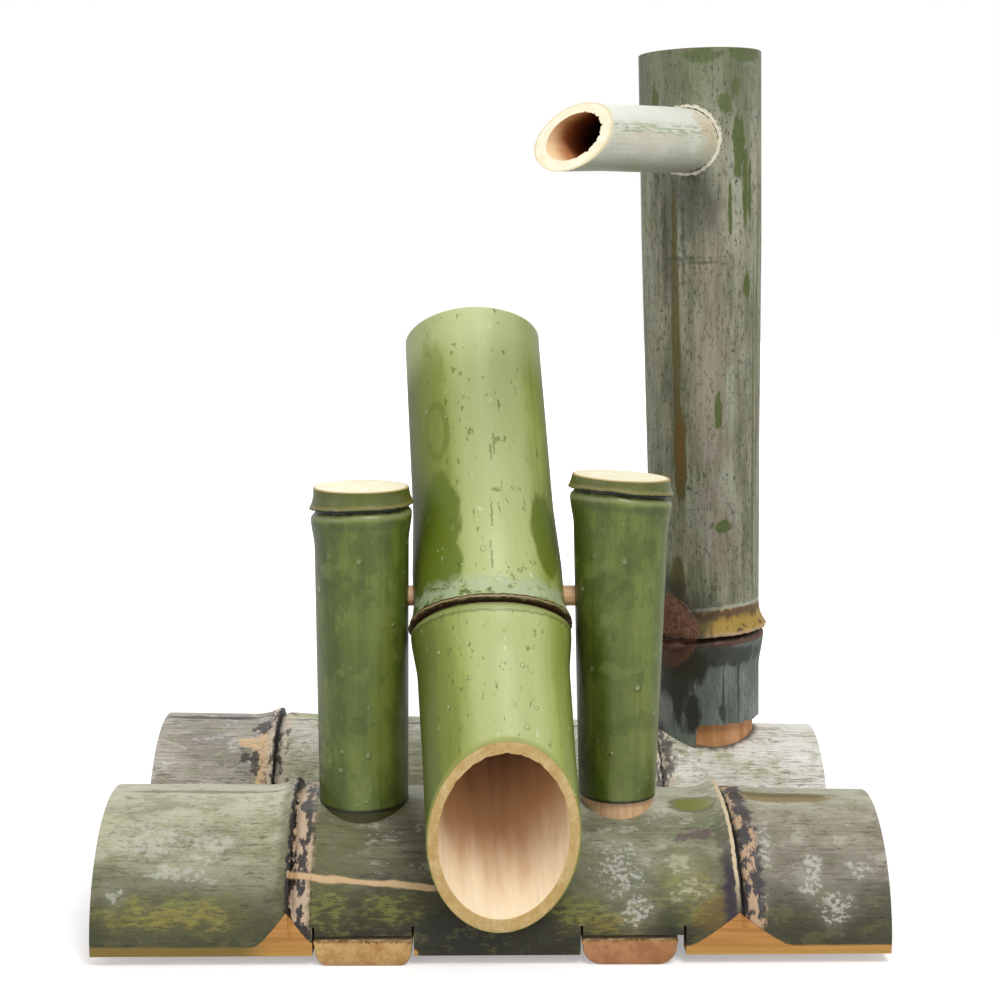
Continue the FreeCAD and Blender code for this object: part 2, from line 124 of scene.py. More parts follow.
class Joint:
    def __init__(self, culm, along, growth, flare, edge, ridge, groove=0.6, tilt=(0, 0),
                 ragged=0.1, seed=1):
        self.along, self.growth, self.tilt, self.ragged = along, growth, tilt, ragged
        self.flare, self.edge, self.ridge, self.groove = flare, edge, ridge, groove
        self.fade = flare * 1.6
        rng = np.random.default_rng(seed)
        self.waves = [(rng.uniform(0.2, 0.6) / k, k, rng.uniform(0, 6.28)) for k in (2, 3, 5, 8)]
        self.chips = [(rng.uniform(0.3, 1.0), k, rng.uniform(0, 6.28))
                      for k in (9, 17, 29, 41, 63)]
        self.depth = lambda turn: 1.0
        culm.joints.append(self)

    def middle(self, turn):
        along = self.along + self.tilt[0] * np.cos(turn) + self.tilt[1] * np.sin(turn)
        for size, count, phase in self.waves:
            along = along + size * np.cos(count * turn + phase)
        return along

    def height(self, along, turn):
        step = (along - self.middle(turn)) * self.growth
        chip = 1 + self.ragged * sum(a * np.cos(k * turn + p) for a, k, p in self.chips)
        past_edge = smooth((step - 0.4) / 0.6)
        lip = self.edge * chip * np.clip((step + self.flare) / self.flare, 0, 1) ** 2.2
        groove = -self.groove * past_edge * (1 - smooth((step - 1.3) / 1.7)) * self.depth(turn)
        ridge = self.ridge * smooth((step - 1.4) / 2.6) * (1 - smooth((step - 4.2) / self.fade))
        return lip * (1 - past_edge) + groove + ridge

    def rows(self, turn):
        """Where rows of points have to lie for the joint's lines to be crisp."""
        steps = np.concatenate([
            np.linspace(-self.flare, 0, 10), [0.4, 0.6, 0.8, 1.0, 1.4, 1.9, 2.5, 3.2, 4.0, 5.0],
            np.linspace(6.5, 4.2 + self.fade, 8)])
        return [self.middle(turn) + self.growth * step for step in steps]


# %% [markdown]
# A turned piece is drawn as rows of points that run round the culm, one after another: up
# the skin, over the sawn end, down the bore and back over the other end. Each band between
# two rows has its own finish. A row may lie at a different length at each turn, which is how
# a slanting cut and a wavy joint come out clean. A half culm is drawn in the same way on
# half a turn, and its two split faces close it.

# %% Rows of points round a culm
SKIN, CUT, HOLLOW, TENON = 0, 1, 2, 3
ROUND = np.linspace(0, 2 * math.pi, 240, endpoint=False)
HALF = np.radians(np.concatenate([np.arange(-90, 60, 1.3), np.linspace(60, 90, 76)]))
CLOSE = 0.05


class Rows:
    def __init__(self, culm, turn=ROUND):
        self.culm, self.turn = culm, turn
        self.along, self.radius, self.finish = [], [], []

    def level(self, value):
        return np.broadcast_to(np.asarray(value, float), self.turn.shape)

    def add(self, along, radius, finish):
        """One row. The finish is that of the band that leads up to it."""
        self.along.append(self.level(along))
        self.radius.append(self.level(radius))
        self.finish.append(finish)

    def straight(self, finish, *stops):
        """Rows straight to one stop after another: how far along, the radius, how many rows."""
        for along, radius, count in stops:
            last_along, last_radius = self.along[-1], self.radius[-1]
            for share in np.arange(1, count + 1) / count:
                self.add(last_along + (along - last_along) * share,
                         last_radius + (radius - last_radius) * share, finish)

    def skin_row(self, along):
        along = self.level(along)
        self.add(along, self.culm.skin(along, self.turn), SKIN)

    def skin_run(self, start, end, step):
        """Skin from start to end, through every joint that lies between them."""
        start, end = self.level(start), self.level(end)
        forward = 1 if end.mean() > start.mean() else -1
        stops = [row for joint in self.culm.joints for row in joint.rows(self.turn)
                 if ((row - start) * forward > CLOSE).all()
                 and ((end - row) * forward > CLOSE).all()]
        last = start
        self.skin_row(last)
        for stop in sorted(stops, key=lambda row: row.mean() * forward) + [end]:
            count = max(int(round(np.abs(stop - last).max() / step)), 1)
            for i in range(1, count + 1):
                self.skin_row(last + (stop - last) * i / count)
            last = stop

    def piece(self, name, ring=True):
        along, radius = np.array(self.along), np.array(self.radius)
        points = self.culm.place(along, np.broadcast_to(self.turn, along.shape), radius)
        rows, columns = along.shape
        whole = self.turn is not HALF
        faces, finishes = [], []
        for i in range(rows if ring else rows - 1):
            j = (i + 1) % rows
            for a in range(columns if whole else columns - 1):
                b = (a + 1) % columns
                faces.append((i * columns + a, i * columns + b, j * columns + b,
                              j * columns + a))
                finishes.append(self.finish[j])
        if not whole:
            for a in (0, columns - 1):
                faces.append([i * columns + a for i in range(rows)])
                finishes.append(CUT)
        return build(name, points.reshape(-1, 3), faces, finishes)


def build(name, points, faces, finishes):
    mesh = bpy.data.meshes.new(name)
    mesh.from_pydata((points * MM).tolist(), [], faces)
    mesh.polygons.foreach_set("material_index", finishes)
    work = bmesh.new()
    work.from_mesh(mesh)
    bmesh.ops.remove_doubles(work, verts=work.verts, dist=0.0005 * MM)
    bmesh.ops.dissolve_degenerate(work, edges=work.edges, dist=0.0005 * MM)
    bmesh.ops.recalc_face_normals(work, faces=work.faces)
    work.to_mesh(mesh)
    work.free()
    piece = bpy.data.objects.new(name, mesh)
    bpy.context.scene.collection.objects.link(piece)
    return piece


# %% [markdown]
# Notches and holes are cut with Blender's exact boolean, as a saw and a drill would cut
# them. The cutters' faces carry the skin's finish, because damp and dirt have given these
# cuts the tone of the skin round them. Only the culms' sawn ends still show clean wood.

# %% Cutting


def block(low, high):
    points = np.array([(x, y, z) for x in (low[0], high[0]) for y in (low[1], high[1])
                       for z in (low[2], high[2])], float)
    faces = [(0, 1, 3, 2), (4, 6, 7, 5), (0, 4, 5, 1), (2, 3, 7, 6), (0, 2, 6, 4), (1, 5, 7, 3)]
    return build("cutter", points, faces, [SKIN] * 6)


def peg(culm, low, high, radius):
    """A round cutter on the axis of a culm, from low to high."""
    rows = Rows(culm)
    for along, size in ((low, 0), (low, radius), (high, radius), (high, 0)):
        rows.add(along, size, SKIN)
    return rows.piece("cutter", ring=False)


def cut_away(piece, cutters):
    for cutter in cutters:
        change = piece.modifiers.new("cut", "BOOLEAN")
        change.operation, change.solver, change.object = "DIFFERENCE", "EXACT", cutter
    bpy.context.view_layer.update()
    shaped = piece.evaluated_get(bpy.context.evaluated_depsgraph_get())
    mesh = bpy.data.meshes.new_from_object(shaped)
    piece.modifiers.clear()
    piece.data = mesh
    for cutter in cutters:
        bpy.data.objects.remove(cutter)


def finish_piece(piece, node, body, materials, angle=38):
    """Smooth shading with crisp corners, materials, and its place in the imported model."""
    for material in materials:
        piece.data.materials.append(material)
    piece.data.shade_smooth()
    piece.data.set_sharp_from_angle(angle=math.radians(angle))
    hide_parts(node)
    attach(piece, body)
    print(node, len(piece.data.polygons), "faces")


# %% [markdown]
# The two feet are culms split in half, laid split side down, so that the round side carries
# the posts. The front foot is planed flat low down, where its joints and its widest part
# would stand proud of the slats: that is the orange strip with a triangle at each joint.
# The plane is a limit on the skin's radius, worked out from how far sideways it may reach,
# and the back of the rear foot is kept in line in the same way.

# %% The two feet
WALL, SEPTUM = 9.0, 3.5
LIFT, FRONT_Y, REAR_Y = 4, -40.4, 60.6
PLANED_OFF = 0.15
REAR_REACH = 52.0
NO_LIMIT = 999

front = Culm((0, FRONT_Y, LIFT), EAST, UP, [(-150, 48.9), (150, 46.6)], seed=11)
rear = Culm((0, REAR_Y, LIFT), EAST, UP, [(-147.95, 50.3), (146.55, 44.6)], seed=12)
for culm, along, tilt, seed in ((front, -78.2, (1.0, 1.2), 3), (front, 91.5, (-1.9, 2.2), 8),
                                (rear, -97.2, (0.6, 1.0), 5), (rear, 73.8, (-0.8, 1.4), 6)):
    Joint(culm, along, 1, flare=13, edge=3.0, ridge=0.9, tilt=tilt, seed=seed)


def plane(reach, towards):
    """A limit on the radius, so that the skin reaches this far to the front, 1, or back, -1."""
    def limit(along, turn):
        sideways = np.sin(turn) * towards
        return np.where(sideways > 0.5, reach(along) / np.maximum(sideways, 0.5), NO_LIMIT)
    return limit


front.limit = plane(lambda along: front.plain(along) - PLANED_OFF, 1)
rear.limit = plane(lambda along: REAR_REACH, -1)
for joint in front.joints:
    joint.depth = lambda turn: 1 - smooth((turn - 1.1) / 0.2)


def half_culm(name, culm):
    """Skin, a sawn end, the hollow with its septa, and back over the other end."""
    low, high = culm.radii[0][0], culm.radii[1][0]
    rows = Rows(culm, HALF)
    rows.skin_run(low, high, 4)
    rows.finish[0] = CUT
    bore = lambda along: culm.plain(along) - WALL
    rows.straight(CUT, (high, bore(high), 4))
    for joint in reversed(culm.joints):
        near, far = joint.along + SEPTUM / 2, joint.along - SEPTUM / 2
        rows.straight(
            HOLLOW, (near + 4, bore(near), 12), (near + 1, bore(near) - 1, 1),
            (near, bore(near) - 5, 1), (near, 0, 1), (far, 0, 1), (far, bore(far) - 5, 1),
            (far - 1, bore(far) - 1, 1), (far - 4, bore(far), 1))
    rows.straight(HOLLOW, (low, bore(low), 12))
    return rows.piece(name)


front_foot = half_culm("front_foot", front)
rear_foot = half_culm("rear_foot", rear)
print("feet", len(front_foot.data.polygons), len(rear_foot.data.polygons), "faces")

# %% [markdown]
# Each side post is a culm stood on its head and sawn off just past a joint, so its top is a
# closed disc of pale wood with a thin rim. Its foot is shaved to a round tenon that goes
# through the front foot's wall. Nothing shows the inside, but it is drawn hollow all the
# same, so that the piece is a closed body.

# %% Side posts
POST_WALL, CREST = 5.0, 51.75
LEFT_X, RIGHT_X, POSTS_Y = -50.28, 49.53, -45.9
LEFT_TOP, RIGHT_TOP = 123.6, 127.7
LEFT_SEAT, RIGHT_SEAT = -0.8, 1.9
TENON_END = -17
post_left = Culm((LEFT_X, POSTS_Y, CREST), UP, SOUTH, [(-10, 17.33), (LEFT_TOP, 18.3)], seed=21)
post_right = Culm((RIGHT_X, POSTS_Y, CREST), UP, SOUTH, [(-10, 14.6), (RIGHT_TOP, 18.6)], seed=22)
for culm, along, tilt, seed in ((post_left, 116.4, (0.7, 1.0), 2),
                                (post_right, 122.0, (2.0, -1.7), 4)):
    Joint(culm, along, -1, flare=7, edge=1.7, ridge=1.2, groove=0.5, tilt=tilt, ragged=0.02,
          seed=seed)


def side_post(name, culm, seat, height, slopes, tenon):
    rows = Rows(culm)
    turn, ring = rows.turn, culm.joints[0].along
    top = height + 18.5 * (slopes[0] * np.sin(turn) - slopes[1] * np.cos(turn))
    skin = culm.skin(top, turn)
    for share in (0, 0.2, 0.4, 0.6, 0.8, 0.94):
        rows.add(height + (top - height) * share, skin * share, CUT)
    rows.add(top, skin - 0.35, CUT)
    rim = len(rows.finish)
    rows.skin_run(top - 0.35, seat, 4)
    rows.finish[rim] = CUT
    rows.straight(CUT, (seat, tenon, 2), (TENON_END, tenon, 6),
                  (TENON_END, tenon - POST_WALL, 2))
    rows.straight(HOLLOW, (ring - 8, tenon - POST_WALL, 6), (ring - 6, 0, 1))
    return rows.piece(name, ring=False)


left_post = side_post("left_post", post_left, LEFT_SEAT, LEFT_TOP, (0, 0), 16.9)
right_post = side_post("right_post", post_right, RIGHT_SEAT, RIGHT_TOP, (-0.057, -0.02), 13.7)
print("side posts", len(left_post.data.polygons), len(right_post.data.polygons), "faces")

# %% [markdown]
# The water post is two lengths of thicker culm, also on its head. Its foot is shaved to a
# tenon all round except at the left, where a tongue of skin was left on down to the rear
# foot, so the shoulder is a function of the turn. The bud beside its joint is drawn as a
# swelling of the skin: two lobes with a crease between them and torn scales.

# %% Water post
LEAN = math.radians(1.6)
TALL_X, TALL_Y, TALL_Z, TALL_FOOT, TALL_TOP = 98.2, 63.1, 49.54, 23.9, 299
SHOULDER, TONGUE, TALL_WALL, TALL_TENON = 6.5, 6.5, 6.5, 21.0
tall = Culm((TALL_X, TALL_Y, TALL_Z), (-math.sin(LEAN), 0, math.cos(LEAN)), SOUTH,
            [(0, TALL_FOOT), (46.8, 24.2), (122, 24.8), (220, 26.2), (TALL_TOP, 26.4)], seed=31)
tall_joint = Joint(tall, 46.8, -1, flare=10, edge=3.0, ridge=2.0, groove=0.9, tilt=(0.6, 1.6),
                   seed=9)


class Bud:
    """A dormant bud: its middle on the culm, and how it swells, in millimetres."""
    along, turn = 48.0, math.radians(-50)

    def height(self, along, turn):
        a = along - self.along
        b = TALL_FOOT * ((turn - self.turn + math.pi) % (2 * math.pi) - math.pi)
        above, below = np.clip(a, 0, 99), np.clip(-a - 1.5, 0, 99)
        width = 15.0 - 0.02 * above ** 2.1
        upper = np.clip(1 - (b / np.maximum(width, 1)) ** 2 - (above / 17) ** 2, 0, 1)
        lower = np.clip(1 - (b / 14) ** 2 - (below / 7) ** 2, 0, 1)
        crease = smooth((np.abs(a + 1.5) - 0.3) / 1.5)
        lobes = 1 + 0.3 * np.cos(b * 0.8 + 1.0) * (a < -1.5)
        scales = 1 + 0.05 * np.cos(b * 2.3 + a * 0.4)
        return 4.2 * np.where(a > -1.5, upper ** 0.6, lower ** 0.5 * lobes) * scales * (
            0.45 + 0.55 * crease)


tall.raised.append(Bud())


def tall_post():
    rows = Rows(tall)
    turn = rows.turn
    foot_x, foot_y = TALL_X + TALL_FOOT * np.sin(turn), TALL_Y - TALL_FOOT * np.cos(turn)
    round_rear = np.arcsin(np.clip((REAR_Y - foot_y) / 48, -1, 1))
    seat = LIFT + rear.skin(foot_x, round_rear) * np.cos(round_rear) - TALL_Z
    seat = seat + TALL_FOOT * np.sin(turn) * math.sin(LEAN)
    tongue = smooth((-TONGUE - TALL_FOOT * np.sin(turn)) / 0.8)
    shoulder = SHOULDER + (seat + 0.6 - SHOULDER) * tongue
    shoulder = shoulder + 0.25 * np.cos(17 * turn) * (1 - tongue)
    bore = tall.skin(rows.level(150.0), turn).mean() - TALL_WALL
    for start, end, step in ((shoulder, 26, 4), (26.5, 68, 0.9), (69, TALL_TOP - 0.4, 5)):
        rows.skin_run(start, end, step)
    rows.add(TALL_TOP, tall.skin(rows.level(TALL_TOP), turn) - 0.5, CUT)
    rows.straight(CUT, (TALL_TOP, bore + 0.5, 5), (TALL_TOP - 0.5, bore, 1))
    rows.straight(HOLLOW, (48.6, bore, 30), (48.6, 8, 4), (45.0, 8, 1), (45.0, bore - 1.5, 4),
                  (TENON_END, bore - 1.5, 6))
    rows.straight(CUT, (TENON_END, TALL_TENON, 2), (-6, TALL_TENON, 3),
                  (shoulder - 0.3, TALL_TENON, 6), (shoulder, 22.2, 1))
    rows.finish[0] = CUT
    return rows.piece("water_post")


water_post = tall_post()
print("water post", len(water_post.data.polygons), "faces")

# %% [markdown]
# The spout is a thin culm without a joint, pushed through the water post's wall and cut
# slanting so that the water leaves it in one stream. It droops a little. Its hole in the
# post was broken out rather than drilled, so the cutter for it has a ragged outline.

# %% Spout
TURN, DIP = math.radians(21.4), math.radians(2.6)
TIP, TIP_SLANT, TIP_SKEW = 172.8, 1.452, 0.255
out = (-math.sin(TURN) * math.cos(DIP), -math.cos(TURN) * math.cos(DIP), -math.sin(DIP))
spout_root = tall.root + tall.run * 262.1
pipe = Culm(spout_root, out, UP, [(0, 13.33), (9, 13.33), (59, 13.2), (142, 11.95), (260, 11.83)],
            seed=41)


def slanting_pipe():
    rows = Rows(pipe)
    turn = rows.turn
    tip = lambda radius: (TIP - TIP_SLANT * radius * np.cos(turn)
                          + TIP_SKEW * radius * np.sin(turn))
    rough = 0.12 * np.cos(19 * turn + 1) + 0.08 * np.cos(43 * turn)
    torn_edge = 0.3 * np.clip(np.cos(17 * turn) + np.cos(29 * turn + 1), 0, 2) * smooth(
        np.cos(turn + 1.3) * 2)
    rows.skin_run(9, tip(11.75) - 0.3, 4)
    rows.finish[0] = CUT
    rows.straight(CUT, (tip(11.6) - 0.15, 11.6, 1), (tip(10.0) + rough, 10.0, 2),
                  (tip(8.3 + torn_edge), 8.3 + torn_edge, 2))
    rows.straight(HOLLOW, (9, 9.6, 40))
    return rows.piece("spout")


spout = slanting_pipe()
torn = Culm(spout_root, out, UP, [(0, 13.45), (60, 13.45)], seed=42)
rng = np.random.default_rng(7)
torn.swellings = [(rng.uniform(0.04, 0.14), count, rng.uniform(0, 6.28), 0)
                  for count in (2, 5, 9, 16, 27)]
hole = Rows(torn)
hole.add(12, 0, SKIN)
hole.skin_row(12)
hole.skin_row(40)
hole.add(40, 0, SKIN)
cut_away(water_post, [hole.piece("cutter", ring=False)])
print("spout", len(spout.data.polygons), "faces")

# %% [markdown]
# The rocker is one joint of fresh culm. Its septum lies just in front of the dowel, so the
# mouth end holds water and the tail end stays light. The mouth is cut slanting to face the
# stream, and the saw tore a few fibres at the inner edge.

# %% Rocker
LEAN_DOWN, YAW = math.radians(54.53), math.radians(5.95)
MOUTH, MOUTH_SLANT, TAIL = 96.6, 0.985, -115.3
run = (math.sin(YAW) * math.cos(LEAN_DOWN), -math.cos(YAW) * math.cos(LEAN_DOWN),
       -math.sin(LEAN_DOWN))
upper = (math.sin(YAW) * math.sin(LEAN_DOWN), -math.cos(YAW) * math.sin(LEAN_DOWN),
         math.cos(LEAN_DOWN))
swing = Culm(hinge + Vector((-1.3, 0, 0)), run, upper,
             [(TAIL, 28.0), (-35.3, 28.0), (-10, 29.3), (13, 29.3), (67.7, 28.4), (130, 28.4)],
             seed=51)
Joint(swing, 13.0, 1, flare=11, edge=2.3, ridge=1.6, groove=0.9, tilt=(0.4, -0.8), ragged=0.05,
      seed=7)


def tipping_culm():
    rows = Rows(swing)
    turn = rows.turn
    tip = lambda radius: MOUTH - MOUTH_SLANT * radius * np.cos(turn)
    torn_edge = 0.35 * np.clip(np.cos(23 * turn) + np.cos(37 * turn + 1), 0, 2) * smooth(
        np.cos(turn) * 3)
    rows.add(14.8, 0, HOLLOW)
    rows.straight(HOLLOW, (14.8, 17, 1), (16, 22.5, 1), (19, 24.6, 1),
                  (tip(24.2) - 0.4 - torn_edge, 24.2, 24))
    rows.straight(CUT, (tip(24.6) - torn_edge * 0.4, 24.6, 1), (tip(27.9), 27.9, 3))
    rows.skin_run(tip(28.3) - 0.35, TAIL + 0.3, 4)
    rows.add(TAIL, swing.skin(rows.level(TAIL), turn) - 0.4, CUT)
    rows.straight(CUT, (TAIL, 24.1, 3), (TAIL + 0.3, 23.8, 1))
    rows.straight(HOLLOW, (6, 23.8, 24), (10, 21.5, 1), (11.2, 16, 1), (11.2, 0, 1))
    return rows.piece("rocker", ring=False)


rocker = tipping_culm()
print("rocker", len(rocker.data.polygons), "faces")

# %% [markdown]
# The notches for the slats were sawn at both sides and knocked out, and each saw cut ran on
# a little past its corner. The posts' holes are round. The dowel's holes go right through
# the rocker, but stop inside the side posts, so nothing shows on their outer sides.

# %% Notches and holes
SLATS = {"left_slat": (-48.08, 37.4), "right_slat": (51.73, 36.3)}
KERF = 0.9
for foot, sides in ((front_foot, ((-91, FRONT_Y, 11.5), (FRONT_Y, 12, 10.1))),
                    (rear_foot, ((8, 114, 10.1),))):
    cutters = []
    for (x, width), play in zip(SLATS.values(), (0.3, 3.0)):
        left, right = x - width / 2 - 0.3, x + width / 2 + play
        for low_y, high_y, top in sides:
            cutters.append(block((left, low_y, 0), (right, high_y, top)))
            for saw in (left, right - KERF):
                cutters.append(block((saw, low_y, top - 1), (saw + KERF, high_y, top + 3.5)))
    cut_away(foot, cutters)
cut_away(front_foot, [peg(post_left, -25, 8, 16.95), peg(post_left, -0.85, 8, 17.5),
                      peg(post_right, -25, 8, 13.75)])
cut_away(rear_foot, [peg(tall, -25, 8, TALL_TENON + 0.05)])
dowel = Culm((0, hinge.y, hinge.z), EAST, UP, [(-60, 4.07), (60, 4.07)], seed=1)
dowel.swellings = []
cut_away(rocker, [peg(dowel, -60, 60, 4.07)])
cut_away(left_post, [peg(dowel, -44.3, -25, 4.02)])
cut_away(right_post, [peg(dowel, 25, 44.3, 4.02)])
print("front foot with its notches", len(front_foot.data.polygons), "faces")

# %% [markdown]
# The slats are strips split from a large culm, laid skin side down across both feet. They
# are too short and too square for the rows used so far, so each is a section in the slat's
# own shape, repeated along it. Their sawn ends show, so the edges there are chipped.

# %% Slats
THICK = 10.0


def slat(name, flat, low_y, high_y, seed):
    rng = np.random.default_rng(seed)
    x, width = SLATS[name]
    top, side, foot = width / 2, width / 2 - 0.5, flat / 2
    half = [(top - 0.3, THICK), (top, 9.6), (side, 7.0)]
    for angle in np.linspace(0.25, 1.35, 6):
        half.append((foot + (side - foot) * math.cos(angle), 7 * (1 - math.sin(angle))))
    half += [(foot, 0.0)]
    section = half + [(-a, z) for a, z in reversed(half)]
    section += [(a, THICK) for a in np.linspace(-top + 2, top - 2, 16)]
    section, middle, count = np.array(section), np.array((0, THICK / 2)), len(section)
    stations = [low_y + step for step in (0, 0.3, 0.8, 2)]
    stations += list(np.linspace(low_y + 6, high_y - 6, 24))
    stations += [high_y - step for step in (2, 0.8, 0.3, 0)]
    points = []
    for y in stations:
        end = min(y - low_y, high_y - y)
        ease = 0.35 * max(1 - end / 0.8, 0) ** 2
        chips = np.where(section[:, 1] > 9.5, rng.uniform(0, 0.9, count), 0.0)
        chips = chips * max(1 - end / 2.5, 0)
        shape = section - np.sign(section - middle) * ease
        for (a, z), chip in zip(shape, chips):
            points.append((x + a, y, max(z - chip, 0)))
    faces = [(i + a, i + (a + 1) % count, i + count + (a + 1) % count, i + count + a)
             for i in range(0, len(points) - count, count) for a in range(count)]
    finishes = [SKIN] * len(faces) + [CUT] * 2
    faces += [list(range(count)), list(range(len(points) - count, len(points)))]
    return build(name, np.array(points, float), faces, finishes)


left_slat = slat("left_slat", 28.0, -88.4, 109.0, 61)
right_slat = slat("right_slat", 21.0, -87.6, 107.0, 62)
print("slats", len(left_slat.data.polygons) + len(right_slat.data.polygons), "faces")

# %% [markdown]
# A finish is written as sums. This class holds one socket of a material, and sums of it
# add Math nodes. Any other node comes from `node`, which sets it up before it joins its
# inputs, so a finish reads like the recipe that it is.

# %% Sums of sockets


class Signal:
    def __init__(self, tree, socket=None):
        self.tree, self.socket = tree, socket

    def node(self, kind, settings, values, out=0):
        """Adds a node: its settings first, then the values or links of its sockets."""
        node = self.tree.nodes.new("ShaderNode" + kind)
        for name, value in settings.items():
            setattr(node, name, value)
        for name, value in values.items():
            if isinstance(value, Signal):
                self.tree.links.new(value.socket, node.inputs[name])
            else:
                node.inputs[name].default_value = value
        return Signal(self.tree, node.outputs[out])

    def maths(self, operation, *values):
        return self.node("Math", {"operation": operation}, dict(enumerate(values)))

    def __add__(self, other):
        return self.maths("ADD", self, other)

    def __sub__(self, other):
        return self.maths("SUBTRACT", self, other)

    def __rsub__(self, other):
        return self.maths("SUBTRACT", other, self)

    def __mul__(self, other):
        return self.maths("MULTIPLY", self, other)

    def __truediv__(self, other):
        return self.maths("DIVIDE", self, other)

    def __rtruediv__(self, other):
        return self.maths("DIVIDE", other, self)

    __radd__, __rmul__ = __add__, __mul__

    def step(self, low, high):
        """0 below low and 1 above high, with a soft change between. Low may be the larger."""
        return self.node("MapRange", {"interpolation_type": "SMOOTHSTEP"},
                         {0: self, 1: low, 2: high, 3: 0.0, 4: 1.0})

    def size(self):
        return self.maths("ABSOLUTE", self)

    def root(self):
        return self.maths("SQRT", self)

    def most(self, other):
        return self.maths("MAXIMUM", self, other)

    def over(self, colour, under):
        """The colour where this mask is 1, and what is under it elsewhere."""
        return self.node("Mix", {"data_type": "RGBA"}, {0: self, 6: under, 7: colour}, out=2)


def paint(code):
    """A colour as a painter's code of two figures each for red, green and blue."""
    parts = [int(code[i:i + 2], 16) / 255 for i in (0, 2, 4)]
    return tuple(p / 12.92 if p < 0.04 else ((p + 0.055) / 1.055) ** 2.4 for p in parts) + (1,)


# %% [markdown]
# Marks have places on a culm, not on the screen, so every finish first works out where its
# point lies: how far along the culm, and how far round. The pieces all sit at the origin,
# so Object coordinates are the model's own millimetres, and three dot products do the rest.
# Noise is read in a stretched space, because everything on bamboo runs along its fibres.
# Colours are then laid one over another, each through a mask of its own. Most of them are
# glazes with a list of places: how far along, how far round, half the length, half the angle.

# %% A finish on a culm
RADIANS = math.radians(1)


